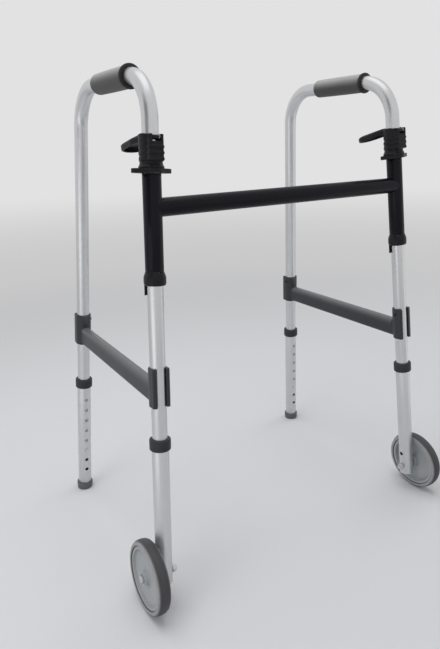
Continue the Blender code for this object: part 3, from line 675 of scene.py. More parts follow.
tube_line = side_stations()
tube_length = tube_line[-1][1]
slide_below_rim = 0.003
slide_lengths = []
for leg in LEGS.values():
    slide_lengths.append(leg["collar_top"] - leg["button"] + TUBE_BELOW_BUTTON - slide_below_rim)
slides = (slide_lengths[0], tube_length - slide_lengths[1])
DULL_SILVER, BRIGHT_SILVER = (0.62, 0.625, 0.635), (0.72, 0.725, 0.735)
BRIGHT_TUBE = drawn_aluminium("satin_aluminium", DULL_SILVER, BRIGHT_SILVER, 0.27, slides)
print("side tube: %.3f m of tube in %d stations" % (tube_length, len(tube_line)))

# %% Side tubes
SIDE_BODY = "{side}_side_frame"
side_shape = shape(pipe_along(tube_line, LEG_RADIUS, LEG_RADIUS - LEG_WALL), "side_tube")
show_both(side_shape, "side_tube", "drawn", "plane", SIDE_BODY, BRIGHT_TUBE, "satin_aluminium")

# %% [markdown]
# ## Hand grips
# A foam sleeve is slightly fuller in its middle and rolls over at its ends. At the front it
# butts against a black rubber lip. It is a padded piece, and because it lies tight on the tube
# it is full and keeps its form.

# %% Grips and lips
GRIP_RADIUS, GRIP_LENGTH, GRIP_MIDDLE = 0.0172, 0.136, 0.196
FRONT_ROLL, REAR_ROLL, CROWN = 0.0012, 0.0034, 0.0003
LIP_RADIUS, LIP_LENGTH, LIP_EDGE = 0.0187, 0.0050, 0.0008


def grip_outline():
    """The foam's section from its front end to its rear end, with a crown and rolled ends."""
    low, high = -GRIP_LENGTH / 2, GRIP_LENGTH / 2 - LIP_LENGTH
    start, straight = high - FRONT_ROLL, high - low - FRONT_ROLL - REAR_ROLL
    turns = [QUARTER * step / 8 for step in range(9)]
    rise = [1 - math.sin(turn) for turn in turns]
    run = [1 - math.cos(turn) for turn in turns]
    outline = [(GRIP_RADIUS - FRONT_ROLL * r, high - FRONT_ROLL * h) for r, h in zip(rise, run)]
    for step in range(1, 16):
        share = step / 16
        crown = CROWN * math.sin(math.pi * share)
        outline.append((GRIP_RADIUS + crown, start - straight * share))
    outline += [(GRIP_RADIUS - REAR_ROLL * r, low + REAR_ROLL * h) for r, h in zip(run, rise)]
    bore = LEG_RADIUS + GAP
    return outline + [(bore, low), (bore, high)]


grip_shape = shape(turned(grip_outline(), width=0), "grip")
lip_front, lip_back = GRIP_LENGTH / 2, GRIP_LENGTH / 2 - LIP_LENGTH
lip = [(LIP_RADIUS - LIP_EDGE, lip_front), (LIP_RADIUS, lip_front - LIP_EDGE)]
lip += [(LIP_RADIUS, lip_back + FRONT_ROLL), (GRIP_RADIUS, lip_back)]
lip += [(LEG_RADIUS + GAP, lip_back), (LEG_RADIUS + GAP, lip_front)]
lip_shape = shape(turned(lip), "grip_lip")
grip_turn = Matrix.Translation((0, GRIP_MIDDLE, GRIP_LINE)) @ Matrix.Rotation(QUARTER, 4, "X")
for side, place in places.items():
    middle = place["plane"] @ grip_turn
    body = f"{side}_side_frame"
    foam = show(grip_shape, f"{side}_grip_foam", middle, body, GRIP_FOAM, "grey_grip", f"{side}_grip")
    show(lip_shape, f"{side}_grip_lip", middle, body, GRIP_LIP, "grey_grip")

# %% [markdown]
# ## Side braces
# A brace is a flat-sided bar with an open clip at each end. The clip is round behind the leg
# and square on its open side, and it springs over the tube. The bar is bonded into both clips,
# so all of it is one moulding here.

# %% Braces
BRACE_HEIGHT, BRACE_THICKNESS, BRACE_DEPTH, BRACE_CORNER = 0.3835, 0.0190, 0.0362, 0.0066
SADDLE_BOTTOM, SADDLE_TOP, SADDLE_RADIUS = 0.3645, 0.4290, 0.0159
SADDLE_SLOT, CORNER_X, CORNER_Y, CORNER_RADIUS = 0.0168, 0.0137, 0.0116, 0.0015
INSIDE_LEG, SLOT_REACH, CUT_LOW, CUT_HIGH = 0.004, (0.006, 0.030), 0.34, 0.45


def brace_mesh():
    start = leg_point(BRACE_HEIGHT, False)
    end = leg_point(BRACE_HEIGHT, True)
    corner_x = BRACE_THICKNESS / 2 - BRACE_CORNER
    corner_y = BRACE_DEPTH / 2 - BRACE_CORNER
    corners = [(x, y) for x in (-corner_x, corner_x) for y in (-corner_y, corner_y)]
    ends = (INSIDE_LEG, end.y - start.y - INSIDE_LEG)
    bar = disc_hull([(x, y, along, BRACE_CORNER) for along in ends for x, y in corners], 64)
    bmesh.ops.transform(bar, matrix=Matrix.Translation(start) @ ALONG_Y, verts=bar.verts)
    steps, bores = [], []
    for foot_y, lean, away in ((0, -LEG_RAKE, -1), (BASE_DEPTH, LEG_RAKE, 1)):
        leg_frame = Matrix.Translation((0, foot_y, 0)) @ Matrix.Rotation(lean, 4, "X")
        discs = []
        for height in (SADDLE_BOTTOM, SADDLE_TOP):
            discs.append((0, 0, height, SADDLE_RADIUS))
            for x in (-CORNER_X, CORNER_X):
                discs.append((x, away * CORNER_Y, height, CORNER_RADIUS))
        clip = disc_hull(discs, 48)
        bmesh.ops.transform(clip, matrix=leg_frame, verts=clip.verts)
        steps += join(clip)
        bore = rod(LEG_RADIUS + 1.2 * GAP, CUT_LOW, CUT_HIGH, leg_frame, 64)
        slot_y = sorted(away * reach for reach in SLOT_REACH)
        slot_low = (-SADDLE_SLOT / 2, slot_y[0], CUT_LOW)
        slot = block(slot_low, (SADDLE_SLOT / 2, slot_y[1], CUT_HIGH), leg_frame)
        bores += cut(bore, slot)
    return moulded(combined(bar, *steps, *bores), 0.0009, 2)


brace_shape = shape(brace_mesh(), "side_brace", 60.0)
bar_start = leg_point(BRACE_HEIGHT, False).y + SADDLE_RADIUS
bar_end = leg_point(BRACE_HEIGHT, True).y - SADDLE_RADIUS
# The band along the top of the bars that the painted highlight covers.
bar_top = (BRACE_HEIGHT + 0.0035, BRACE_HEIGHT + BRACE_DEPTH / 2 + 0.003)
lit_top = (bar_top, (bar_start, bar_end))
SLATE_PLASTIC = moulded_plastic("slate_plastic", SLATE_DARK, SLATE_LIGHT, 0.32, 0.5, lit_top)
show_both(brace_shape, "side_brace", "moulded", "plane", SIDE_BODY, SLATE_PLASTIC, "slate_plastic")
print("brace:", len(brace_shape.polygons), "faces")

# %% [markdown]
# ## Rivets and buttons
# Small turned fittings hold the braces and lock the legs. A rivet has a low dome, and a snap
# button is a dome on a short barrel whose foot stays inside the tube.

# %% Rivets and snap buttons
FITTING_EDGE, FITTING_STEPS = 0.0001, 32
rivet = [(0.0, 0.0017), (0.0012, 0.0016), (0.0023, 0.0012), (0.0031, 0.0005), (0.0034, 0.0)]
rivet_shape = shape(turned(rivet + [(0.0, 0.0)], FITTING_EDGE, FITTING_STEPS), "rivet")
foot_top = LEG_RADIUS - LEG_WALL - 0.0013
foot_bottom = foot_top - 0.0012
button = [(0.0, 0.0170), (0.0012, 0.0168), (0.0022, 0.0163), (0.0029, 0.0156), (0.0033, 0.0146)]
button += [(0.0033, foot_top), (0.0046, foot_top), (0.0046, foot_bottom), (0.0, foot_bottom)]
button_shape = shape(turned(button, FITTING_EDGE, FITTING_STEPS), "snap_button")
rivet_height = SADDLE_TOP - 0.012
for side, place in places.items():
    inward = -place["outward"]
    for end, leg in LEGS.items():
        spot = Matrix.Translation((inward * (SADDLE_RADIUS + GAP), 0, rivet_height))
        spot = place[end] @ spot @ Matrix.Rotation(QUARTER * inward, 4, "Y")
        node, body = f"{side}_{end}_brace_rivet", f"{side}_side_frame"
        show(rivet_shape, node + "_dome", spot, body, DARK_STEEL, "zinc_plate", node)
        spot = place[end] @ Matrix.Translation((0, 0, leg["button"]))
        spot = spot @ Matrix.Rotation(-QUARTER * leg["facing"], 4, "X")
        node, body = f"{side}_{end}_button", f"{side}_{end}_snap_button"
        show(button_shape, node + "_dome", spot, body, ZINC, "zinc_plate", node)

# %% [markdown]
# ## Lower legs
# Each lower tube slides over the side tube and has a row of holes an inch apart. The holes
# are drilled through one wall. Above the snap button the side tube shows through them, darkened
# by painted shade, and below it they look into the empty tube and are dark.

# %% Lower tubes
BOLT_RADIUS = 0.0040
WHEEL_RADIUS, WHEEL_WIDTH, WHEEL_INNER_FACE = 0.0635, 0.0235, 0.0158
SHOULDER_WIDTH = 0.0055
TYRE_EDGE = (0.0628, WHEEL_WIDTH - SHOULDER_WIDTH)
SPARE_AXLE_HEIGHT = 0.0930
upright = math.cos(OUTWARD_LEAN) * math.cos(LEG_RAKE)
sideways = math.sin(OUTWARD_LEAN)
drop = TYRE_EDGE[0] * math.cos(OUTWARD_LEAN) + (WHEEL_WIDTH / 2 - SHOULDER_WIDTH) * sideways
drop = max(drop, WHEEL_RADIUS * math.cos(OUTWARD_LEAN))
AXLE_HEIGHT = (drop - (WHEEL_INNER_FACE + WHEEL_WIDTH / 2) * sideways) / upright


def lower_tube_mesh(end, leg):
    mouth = leg["collar_top"] - 0.0025
    tube = turned(pipe_outline(LOWER_RADIUS, LOWER_RADIUS - LOWER_WALL, leg["bottom"], mouth))
    drills = []
    for index in range(leg["holes"]):
        spot = Matrix.Translation((0, 0, leg["first_hole"] + HOLE_PITCH * index)) @ ALONG_Y
        low, high = sorted((0.002 * leg["facing"], 0.020 * leg["facing"]))
        drills.append(rod(HOLE_RADIUS, low, high, spot, 32))
    if end == "front":
        for height in (AXLE_HEIGHT, SPARE_AXLE_HEIGHT):
            spot = Matrix.Translation((0, 0, height)) @ ALONG_X
            drills.append(rod(BOLT_RADIUS + GAP, -0.02, 0.02, spot, 32))
    return combined(tube, *cut(*drills))


for end, leg in LEGS.items():
    part, body = f"{end}_lower_tube", "{side}_" + f"{end}_leg"
    mesh = shape(lower_tube_mesh(end, leg), part)
    show_both(mesh, part, "drilled", end, body, MATT_TUBE, "satin_aluminium")
print("axle height along the leg: %.4f" % AXLE_HEIGHT)

# %% [markdown]
# ## Collars and tips
# A plastic collar closes each lower tube's mouth so that it doesn't rattle. It is a short ring
# with a rounded rim, turned in one go. The rear legs end in rubber cups whose base is cut level
# with the floor, with shallow grooves round the skirt.

# %% Collars
COLLAR_LENGTH = 0.0190


def collar_outline(top):
    bottom, ledge = top - COLLAR_LENGTH, top - 0.0022
    outer, groove, bore = 0.0178, 0.0174, LEG_RADIUS + 2 * GAP
    outline = [(0.0158, top), (0.0167, top - 0.0003), (0.0174, top - 0.0010), (outer, top - 0.0020)]
    outline += [(outer, bottom + 0.0046), (groove, bottom + 0.0041), (groove, bottom + 0.0034)]
    outline += [(outer, bottom + 0.0029), (outer, bottom + 0.0014), (0.0168, bottom)]
    outline += [(LOWER_RADIUS + GAP, bottom), (LOWER_RADIUS + GAP, ledge), (bore, ledge)]
    return outline + [(bore, top - 0.0004), (bore + 0.0004, top)]


for end, leg in LEGS.items():
    part, body = f"{end}_collar", "{side}_" + f"{end}_leg"
    ring = shape(turned(collar_outline(leg["collar_top"]), 0.0002), part)
    show_both(ring, part, "rim", end, body, COLLAR_PLASTIC, "black_plastic")

# %% Rubber tips
TIP_TOP, TIP_RADIUS, BELOW_FLOOR = 0.0159, 0.0174, -0.0060
cup_floor = LEGS["rear"]["bottom"] - GAP


def tip_mesh(lean):
    outline = [(0.0162, TIP_TOP), (0.0169, TIP_TOP - 0.0003), (TIP_RADIUS, TIP_TOP - 0.0010)]
    for groove in (0.0128, 0.0104):
        outline += [(TIP_RADIUS, groove + 0.0005), (0.0171, groove), (TIP_RADIUS, groove - 0.0005)]
    outline += [(TIP_RADIUS, 0.0085), (0.0172, 0.0064), (0.0168, 0.0045), (0.0162, -0.0010)]
    outline += [(0.0160, BELOW_FLOOR), (0.0, BELOW_FLOOR), (0.0, cup_floor)]
    outline += [(LOWER_RADIUS + GAP, cup_floor), (LOWER_RADIUS + GAP, TIP_TOP)]
    level = Matrix.Rotation(-LEG_RAKE, 4, "X") @ Matrix.Rotation(lean, 4, "Y")
    floor_cut = block((-0.05, -0.05, -0.05), (0.05, 0.05, 0.0), level)
    return softened(combined(turned(outline, 0), *cut(floor_cut)), 0.0005, 50.0)


for side, place in places.items():
    node = f"{side}_rear_tip"
    cup = shape(tip_mesh(place["outward"] * OUTWARD_LEAN), node)
    show(cup, node + "_cup", place["rear"], f"{side}_rear_leg", TIP_RUBBER, "tip_rubber", node)

# %% [markdown]
# ## Wheels
# Each front leg has a fixed wheel on its outer side. A solid rubber tyre, slightly crowned and
# with a moulding line round its middle, sits on a dished plastic hub with a raised rim and a
# boss. A bolt goes through a white bush, with a washer at the leg and a nut inside it.

# %% Wheel outlines, as (radius, distance from the wheel's inner face)
HUB_RADIUS = 0.0535
half = WHEEL_WIDTH / 2
wide = WHEEL_WIDTH
TYRE = [(HUB_RADIUS + GAP, wide - 0.0016), (0.0548, wide - 0.0004), (0.0565, wide)]
TYRE += [(0.0592, wide - 0.0005), (0.0611, wide - 0.0020), TYRE_EDGE, (0.0633, half + 0.0025)]
TYRE += [(0.06337, half + 0.0006), (WHEEL_RADIUS, half + 0.0003)]
TYRE += [(radius, wide - across) for radius, across in reversed(TYRE)]
HUB_FACE = [(0.0080, wide), (0.0104, wide - 0.0003), (0.0112, wide - 0.0012)]
HUB_FACE += [(0.0124, 0.0186), (0.0140, 0.0172), (0.0165, 0.0166), (0.0220, 0.0164), (0.0300, 0.0166)]
HUB_FACE += [(0.0395, 0.0169), (0.0400, 0.0173), (0.0440, 0.0174), (0.0462, 0.0177), (0.0473, 0.0190)]
HUB_FACE += [(0.0480, wide - 0.0028), (0.0486, wide - 0.0021), (0.0529, wide - 0.0021)]
HUB_FACE += [(HUB_RADIUS, wide - 0.0027), (HUB_RADIUS, 0.0027), (0.0529, 0.0021), (0.0486, 0.0021)]
HUB_FACE += [(0.0478, 0.0030), (0.0470, 0.0098), (0.0458, 0.0112), (0.0300, 0.0120), (0.0220, 0.0122)]
HUB_FACE += [(0.0150, 0.0116), (0.0127, 0.0098), (0.0118, 0.0006), (0.0111, 0.0), (0.0069, 0.0)]
HUB_FACE += [(0.0069, wide)]
bore = BOLT_RADIUS + GAP
BUSH = pipe_outline(0.0066, bore, -0.0002, wide + 0.0002)

# %% Tyres, hubs and bushes
for place in places.values():
    outward = place["outward"]
    turn_out = Matrix.Rotation(QUARTER * outward, 4, "Y")
    wheel_face = Matrix.Translation((outward * WHEEL_INNER_FACE, 0, AXLE_HEIGHT))
    axle = place["front"] @ Matrix.Translation((0, 0, AXLE_HEIGHT))
    place["wheel"] = place["front"] @ wheel_face @ turn_out
    place["bolt"] = axle @ turn_out
    place["nut"] = axle @ Matrix.Rotation(-QUARTER * outward, 4, "Y")

for part, ending, bm, finish, slot in (
    ("tyre", "tread", turned(TYRE, 0, 128), TYRE_RUBBER, "tyre_rubber"),
    ("wheel_hub", "disc", turned(HUB_FACE, 0, 128), HUB_PLASTIC, "hub_plastic"),
    ("wheel_bush", "barrel", turned(BUSH, 0.0002, 48), NYLON, "white_nylon"),
):
    show_both(shape(bm, part, 40.0), part, ending, "wheel", "{side}_wheel", finish, slot)

# %% Bolts, nuts and washers
def hexagon_head(radius, low, high):
    """A hexagon whose corners are turned off. The blanks run past each other, so they cut clean."""
    prism = rod(radius, low, high + 0.001, steps=6)
    cone = [(0.0, high), (radius * 0.86, high), (radius * 1.1, high - 0.0012)]
    cone += [(radius * 1.1, low - 0.001), (0.0, low - 0.001)]
    return softened(combined(prism, ("INTERSECT", turned(cone, 0, 48))), 0.00015, 25.0, 1)


head_start = WHEEL_INNER_FACE + WHEEL_WIDTH + 0.0005
nut_start = LOWER_RADIUS + GAP
bolt_end = -nut_start - 0.0092
bolt = [(0.0, head_start + 0.0010), (BOLT_RADIUS, head_start + 0.0010)]
bolt += [(BOLT_RADIUS, bolt_end + 0.0006), (BOLT_RADIUS - 0.0006, bolt_end), (0.0, bolt_end)]
bolt_head = hexagon_head(0.0070, head_start, head_start + 0.0045)
bolt_mesh = combined(turned(bolt, 0, 48), *join(bolt_head))
nut_mesh = hexagon_head(0.0072, nut_start, nut_start + 0.0062)
nut_mesh = combined(nut_mesh, *cut(rod(BOLT_RADIUS + GAP, 0, 0.05)))
washer = pipe_outline(0.0080, BOLT_RADIUS + GAP, nut_start, WHEEL_INNER_FACE - 0.0005)
for part, bm, where in (
    ("axle_bolt", bolt_mesh, "bolt"),
    ("axle_nut", nut_mesh, "nut"),
    ("axle_washer", turned(washer, 0.0002, 48), "bolt"),
):
    show_both(shape(bm, part), part, "plated", where, "{side}_front_leg", ZINC, "zinc_plate")

# %% [markdown]
# ## Sleeves and crossbar
# The black cross-frame is steel tube: a sleeve round each front leg and a crossbar between
# them. The crossbar's ends are coped, which means cut hollow, to fit the sleeves' round.

# %% Sleeves
SLEEVE_BOTTOM, SLEEVE_TOP = 0.5817, 0.7283
CROSSBAR_HEIGHT = 0.6780
SLEEVE_BORE = SLEEVE_RADIUS - SLEEVE_WALL
sleeve = turned(pipe_outline(SLEEVE_RADIUS, SLEEVE_BORE, SLEEVE_BOTTOM + GAP, SLEEVE_TOP), 0.0003)
painted = ("cross_frame", GLOSS_BLACK, "gloss_black_paint")
show_both(shape(sleeve, "sleeve"), "sleeve", "painted", "front", *painted)

# %% Crossbar
bar_half = FOOT_SPREAD / 2 - CROSSBAR_HEIGHT * math.cos(LEG_RAKE) * math.sin(OUTWARD_LEAN)
bar_spot = (0, FRONT_FOOT_Y + CROSSBAR_HEIGHT * math.sin(LEG_RAKE), CROSSBAR_HEIGHT * upright)
bar_place = Matrix.Translation(bar_spot) @ ALONG_X
bar_bore = CROSSBAR_RADIUS - CROSSBAR_WALL
bar = turned(pipe_outline(CROSSBAR_RADIUS, bar_bore, -bar_half, bar_half), 0)
copes = []
for place in places.values():
    to_bar = bar_place.inverted() @ place["front"]
    cope = rod(SLEEVE_RADIUS + GAP / 3, SLEEVE_BOTTOM, SLEEVE_TOP, to_bar, ROUND)
    copes.append(cope)
bar_shape = shape(combined(bar, *cut(*copes)), "crossbar", 50.0)
show(bar_shape, "crossbar_painted", bar_place, *painted, "crossbar")
print("crossbar: %.3f m between sleeve axes" % (2 * bar_half))

# %% [markdown]
# ## Bushes and flanges
# Below each sleeve a flared plastic bush carries the leg, with a tongue down its back. Above
# the sleeve a winged plate is the floor of the latch.

# %% Lower bushes
BUSH_BOTTOM, TONGUE_BOTTOM = 0.5617, 0.5455


def lower_bush_mesh():
    top = SLEEVE_BOTTOM
    outline = [(0.0150, top), (0.0158, top - 0.0024), (0.0170, top - 0.0056), (0.0176, top - 0.0085)]
    outline += [(0.0176, BUSH_BOTTOM + 0.0030), (0.0165, BUSH_BOTTOM)]
    outline += [(SLEEVE_BORE, BUSH_BOTTOM), (SLEEVE_BORE, top)]
    tongue = rod(0.0168, TONGUE_BOTTOM, BUSH_BOTTOM + 0.002, steps=ROUND)
    front_half = block((-0.03, -0.03, TONGUE_BOTTOM - 0.01), (0.03, 0.0075, BUSH_BOTTOM - GAP))
    inside = rod(SLEEVE_BORE, TONGUE_BOTTOM - 0.02, top + 0.01, steps=ROUND)
    return moulded(combined(turned(outline, 0), *join(tongue), *cut(front_half, inside)), 0.0005)


black = ("cross_frame", BLACK_PLASTIC, "black_plastic")
bush_shape = shape(lower_bush_mesh(), "lower_bush", 60.0)
show_both(bush_shape, "lower_bush", "moulded", "front", *black)

# %% Base flanges
def flange_mesh():
    bottom = SLEEVE_TOP + GAP
    discs = []
    for height in (bottom, FLANGE_TOP):
        discs.append((0, 0, height, 0.0200))
        discs += [(x, 0, height, 0.0085) for x in (-0.0235, 0.0235)]
    opening = rod(LEG_RADIUS + 0.0006, bottom - 0.01, FLANGE_TOP + 0.01, steps=ROUND)
    return moulded(combined(disc_hull(discs, 48), *cut(opening)), 0.0005)


flange_shape = shape(flange_mesh(), "base_flange", 60.0)
show_both(flange_shape, "base_flange", "moulded", "front", *black)

# %% [markdown]
# ## Latch housing
# The housing is a ribbed shell round the leg. Two lugs in front hold the lever's pin, the top
# is cupped to take the lever, and a channel behind the leg guides the locking pin. Heights
# are measured from the flange.

# %% Latch housings
HOUSING_BORE, HOUSING_RECESS, HOUSING_HEIGHT = 0.0154, 0.0173, 0.0480
RECESS_FLOOR, CHANNEL_TOP, PIN_RADIUS = 0.0292, 0.0255, 0.0015
RIB_HEIGHTS, RIB_HALF, RIB_RADIUS, WAIST_RADIUS = (0.0130, 0.0215, 0.0300), 0.0018, 0.0183, 0.0172
LUG_X, LUG_Y, LUG_TOP = 0.0088, -0.0188, 0.0475


def housing_mesh():
    outline = [(RIB_RADIUS, HOUSING_HEIGHT)]
    for height in reversed(RIB_HEIGHTS):
        outline += [(RIB_RADIUS, height + RIB_HALF), (RIB_RADIUS, height - RIB_HALF)]
        outline.append((WAIST_RADIUS, height - 2 * RIB_HALF))
    outline += [(WAIST_RADIUS, 0.0075), (0.0180, 0.0048), (0.0195, 0.0022), (0.0195, GAP)]
    outline += [(0.0, GAP), (0.0, HOUSING_HEIGHT)]
    corners = [(x, y) for x in (-LUG_X, LUG_X) for y in (LUG_Y, -0.0125)]
    lugs = [(x, y, z, 0.0030) for x, y in corners for z in (0.0100, LUG_TOP)]
    added = [disc_hull(lugs)]
    for height in RIB_HEIGHTS:
        band = [(x, y, z, 0.0040) for x, y in corners for z in (height - 0.0016, height + 0.0016)]
        added.append(disc_hull(band))
    added.append(block((-0.0042, 0.0150, GAP), (0.0042, 0.0200, CHANNEL_TOP)))
    above = HOUSING_HEIGHT + 0.02
    pivot = Matrix.Translation(PIVOT)
    cuts = (
        rod(HOUSING_RECESS, RECESS_FLOOR, above, steps=ROUND),
        block((-0.0150, 0.0070, CHANNEL_TOP), (0.0150, 0.0300, above)),
        block((-0.0070, -0.0060, -0.0060), (0.0070, 0.0300, 0.0200), pivot),
        rod(PIN_RADIUS + GAP, -0.02, 0.02, pivot @ ALONG_X, 24),
        rod(HOUSING_BORE, -0.01, above, steps=ROUND),
        block((-0.0023, 0.0120, -0.01), (0.0023, 0.0187, above)),
    )
    return moulded(combined(turned(outline, 0), *join(*added), *cut(*cuts)), 0.00045, 2)


housing_shape = shape(housing_mesh(), "latch_housing", 60.0)
show_both(housing_shape, "latch_housing", "moulded", "latch", *black)
print("housing:", len(housing_shape.polygons), "faces")

# %% [markdown]
# ## Release lever
# The lever is a paddle behind the leg, pressed down with a thumb. A yoke passes round the leg
# to the pin in front. The paddle droops, widens towards its end and is spooned out underneath
# so that the moulding has an even wall.

# %% Release levers
YOKE_RADIUS, YOKE_BOTTOM, LEVER_TOP = 0.0169, 0.0404, 0.0490
LEVER_DROOP, FRONT_SLOPE = math.radians(9.5), math.radians(20)
PAD_ROOT, PAD_NECK, PAD_END = 0.022, 0.018, 0.043

# The paddle's half width at a few depths, at its root, its neck and its end
PAD_SECTIONS = (
    (0, ((0, 0.0095), (0.0035, 0.0115), (0.0085, 0.0110))),
    (PAD_NECK, ((0, 0.0115), (0.0015, 0.0155), (0.0040, 0.0178), (0.0115, 0.0175))),
    (PAD_END, ((0, 0.0120), (0.0015, 0.0168), (0.0040, 0.0195), (0.0110, 0.0190))),
)


def lever_mesh():
    leg_y = -PIVOT.y
    under, over = YOKE_BOTTOM - PIVOT.z, LEVER_TOP - PIVOT.z
    ring = [(under, YOKE_RADIUS - 0.0007), (over - 0.001, YOKE_RADIUS), (over, YOKE_RADIUS - 0.0007)]
    yoke = [(0, leg_y, z, radius) for z, radius in ring]
    yoke = disc_hull(yoke + [(0, 0.0050, z, 0.0064) for z in (under, over)], 64)
    pad = [(0, y, -depth, radius) for y, section in PAD_SECTIONS for depth, radius in section]
    pad = disc_hull(pad, 64)
    spoon = [(0, y, z, 0.0155) for y in (PAD_NECK - 0.004, PAD_END) for z in (-0.020, -0.0050)]
    spoon = disc_hull(spoon, 64)
    droop = Matrix.Translation((0, leg_y + PAD_ROOT, over)) @ Matrix.Rotation(-LEVER_DROOP, 4, "X")
    for bm in (pad, spoon):
        bmesh.ops.transform(bm, matrix=droop, verts=bm.verts)
    room = (leg_y - 0.0006, leg_y + 0.0018)
    leg_room = disc_hull([(0, y, z, 0.0137) for y in room for z in (-0.03, 0.03)], 64)
    slope = Matrix.Translation((0, 0.0125, over)) @ Matrix.Rotation(FRONT_SLOPE, 4, "X")
    steps = join(pad) + cut(spoon, leg_room, block((-0.03, -0.03, 0.0), (0.03, 0.004, 0.02), slope))
    steps += join(rod(0.0032, -0.0066, 0.0024, ALONG_X, 32))
    steps += cut(
        rod(PIN_RADIUS + GAP, -0.02, 0.02, ALONG_X, 24),
        block((-0.0186, -0.010, -0.01), (-0.0066, 0.0043, 0.02)),
        block((0.0066, -0.010, -0.01), (0.0186, 0.0043, 0.02)),
        block((0.0027, -0.0080, -0.0100), (0.0080, 0.0034, 0.0200)),
    )
    return moulded(combined(yoke, *steps), 0.0005, 4)


lever_shape = shape(lever_mesh(), "release_lever", 60.0)
pin_end = [(PIN_RADIUS, 0.0107), (0.0011, 0.0111), (0.0, 0.0112)]
pin_outline = [(radius, -height) for radius, height in reversed(pin_end)] + pin_end
pin_shape = shape(turned(pin_outline, 0, 32), "lever_pin")
show_both(lever_shape, "release_lever", "moulded", "lever", "{side}_lever", *black[1:])
steel = ("cross_frame", DARK_STEEL, "zinc_plate")
show_both(pin_shape, "lever_pin", "turned", "lever", *steel, turn=ALONG_X)

# %% [markdown]
# ## Fittings that stay as they are
# The springs, the locking pin and the lock ring sit inside the latch and the tubes. Their
# solids already have the right shape, so they only get a better finish.

# %% Inner fittings
for side in places:
    for part, finish in (
        ("lever_spring", SPRING_STEEL),
        ("front_button_spring", SPRING_STEEL),
        ("rear_button_spring", SPRING_STEEL),
        ("latch_plunger", ZINC_INSIDE),
        ("lock_ring", ZINC_INSIDE),
    ):
        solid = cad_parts[f"{side}_{part}"]
        solid.data.materials.clear()
        solid.data.materials.append(finish)

# %% [markdown]
# ## Floor and background
# A plain pale floor meets a pale background. With distance the floor turns into a glow of its
# own tone, which rises to the background's, so no horizon shows. The world is pale where a
# camera or a shiny tube sees it, and it gives only a soft even light to the rest.

# %% Floor
BACKGROUND = (0.76, 0.76, 0.765)
FLOOR_BEHIND = (0.575, 0.575, 0.582)
FLOOR = (0.69, 0.69, 0.705)
FILL = 0.34


def floor_material():
    paint = Paint("studio_floor", Roughness=0.75)
    where = paint.world_place()
    haze = paint.noise(where, 3.0, 3.0)
    paint.feed("Base Color", paint.mixed(haze, tuple(0.98 * c for c in FLOOR), FLOOR))
    reach = paint.length(where)
    faded = paint.between(reach, 0.8, 2.6)
    glow = FILL + (1.0 - FILL) * paint.seen_directly()
    rising = paint.mixed(paint.between(reach, 1.8, 8.5), FLOOR_BEHIND, BACKGROUND)
    far = paint.node("ShaderNodeEmission", None, {"Color": rising, "Strength": glow})
    near = Flow(paint, paint.shader.outputs[0])
    paint.surface(paint.node("ShaderNodeMixShader", None, {0: faded, 1: near, 2: far}))
    return paint.material


floor_mesh = bmesh.new()
level = Matrix.Translation((0, 0, -GAP))
bmesh.ops.create_circle(floor_mesh, cap_ends=True, segments=96, radius=9.0, matrix=level)
floor = loose(floor_mesh, "studio_floor")
floor.data.materials.append(floor_material())

# %% World
world = bpy.data.worlds.new("studio_world")
bpy.context.scene.world = world
sky = Recipe(world)
backdrop = sky.node("ShaderNodeBackground", None, {"Color": (*BACKGROUND, 1.0), "Strength": 1.0})
fill = sky.node("ShaderNodeBackground", None, {"Color": (0.96, 0.98, 1.0, 1.0), "Strength": FILL})
sky.surface(sky.node("ShaderNodeMixShader", None, {0: sky.seen_directly(), 1: fill, 2: backdrop}))

# %% [markdown]
# ## Light
# Three soft lights fill the studio: a tall one on the left, a weaker one on the right and a
# large one above. Round metal only looks round when it reflects something light and something
# dark. So the lamps stay out of reflections, and four large cards stand well away from the
# walker instead, where only shiny surfaces see them. The dark grey one at the upper left
# darkens one edge of each tube, and the three pale ones draw the light bands.

# %% Soft lights
MIDDLE = (0.0, 0.0, 0.45)


def soft_light(name, spot, width, height, power, tint=(1.0, 1.0, 1.0)):
    data = bpy.data.lights.new(name, "AREA")
    data.shape = "RECTANGLE"
    data.size = width
    data.size_y = height
    data.energy = power
    data.color = tint
    lamp = bpy.data.objects.new(name, data)
    lamp.location = spot
    lamp.rotation_euler = (Vector(MIDDLE) - Vector(spot)).to_track_quat("-Z", "Y").to_euler()
    lamp.visible_camera = False
    lamp.visible_glossy = False
    bpy.context.scene.collection.objects.link(lamp)


soft_light("left_light", (-2.3, -0.8, 1.1), 1.4, 2.4, 16.0)
soft_light("right_light", (2.4, 0.3, 1.2), 1.4, 2.0, 10.0, (0.95, 0.98, 1.0))
soft_light("top_light", (-0.3, 0.2, 2.8), 2.6, 2.6, 52.0)

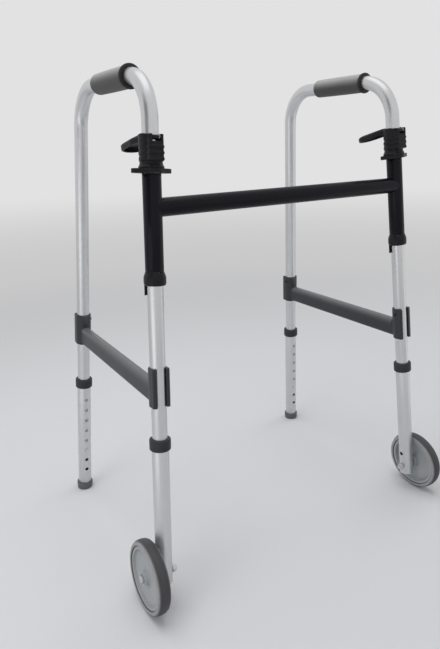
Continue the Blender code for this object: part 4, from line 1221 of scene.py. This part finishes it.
# %% Cards that the tubes reflect
def reflected_card(name, spot, width, height, brightness):
    """A card that faces the walker and that only shiny surfaces see, at the brightness given."""
    bm = bmesh.new()
    facing = (Vector(MIDDLE) - Vector(spot)).to_track_quat("Z", "Y").to_matrix().to_4x4()
    place = Matrix.Translation(spot) @ facing @ Matrix.Diagonal((width, height, 1, 1))
    bmesh.ops.create_grid(bm, x_segments=1, y_segments=1, size=0.5, matrix=place)
    paint = Paint(name, Base_Color=(0.0, 0.0, 0.0, 1.0), Specular_IOR_Level=0.0)
    paint.shader.inputs["Emission Color"].default_value = (1.0, 1.0, 1.0, 1.0)
    paint.shader.inputs["Emission Strength"].default_value = brightness
    card = loose(bm, name)
    card.data.materials.append(paint.material)
    card.visible_camera = False
    card.visible_diffuse = False
    card.visible_shadow = False


reflected_card("left_upper_card", (-1.7, -0.65, 1.35), 1.3, 1.4, 0.20)
reflected_card("left_lower_card", (-1.7, -0.65, 0.30), 1.3, 0.7, 1.30)
reflected_card("right_card", (0.95, -0.45, 0.35), 0.7, 0.8, 0.85)
reflected_card("top_card", (0.0, 0.1, 2.4), 1.6, 1.6, 1.30)

# %% [markdown]
# ## Camera
# The photograph was taken a little above the crossbar, from the front and to the walker's
# right, with the camera tipped down and slightly rolled. Its place and its angles were solved
# from the edges of the object in the picture.

# %% Camera
IMAGE_HEIGHT = 649
FOCAL_PIXELS = 568.40
CAMERA_SPOT = Vector((-0.62423, -0.93430, 0.77049))
YAW, PITCH, ROLL = (math.radians(angle) for angle in (-31.0223, 18.0968, -1.7904))

flat = math.cos(PITCH)
view_way = Vector((-math.sin(YAW) * flat, math.cos(YAW) * flat, -math.sin(PITCH)))
level = Vector((math.cos(YAW), math.sin(YAW), 0))
above = level.cross(view_way)
right_way = math.cos(ROLL) * level + math.sin(ROLL) * above
up_way = -math.sin(ROLL) * level + math.cos(ROLL) * above
lens = bpy.data.cameras.new("camera")
lens.sensor_fit = "VERTICAL"
lens.sensor_height = 24.0
lens.lens = FOCAL_PIXELS / IMAGE_HEIGHT * lens.sensor_height
camera = bpy.data.objects.new("camera", lens)
camera.matrix_world = Matrix((right_way, up_way, -view_way)).transposed().to_4x4()
camera.location = CAMERA_SPOT
bpy.context.scene.collection.objects.link(camera)
bpy.context.scene.camera = camera
bpy.context.scene.view_settings.view_transform = "Standard"
print("lens %.2f mm" % lens.lens)

# %% [markdown]
# ## Finish
# The view layer is brought up to date at the end.

# %% Update the view layer
bpy.context.view_layer.update()
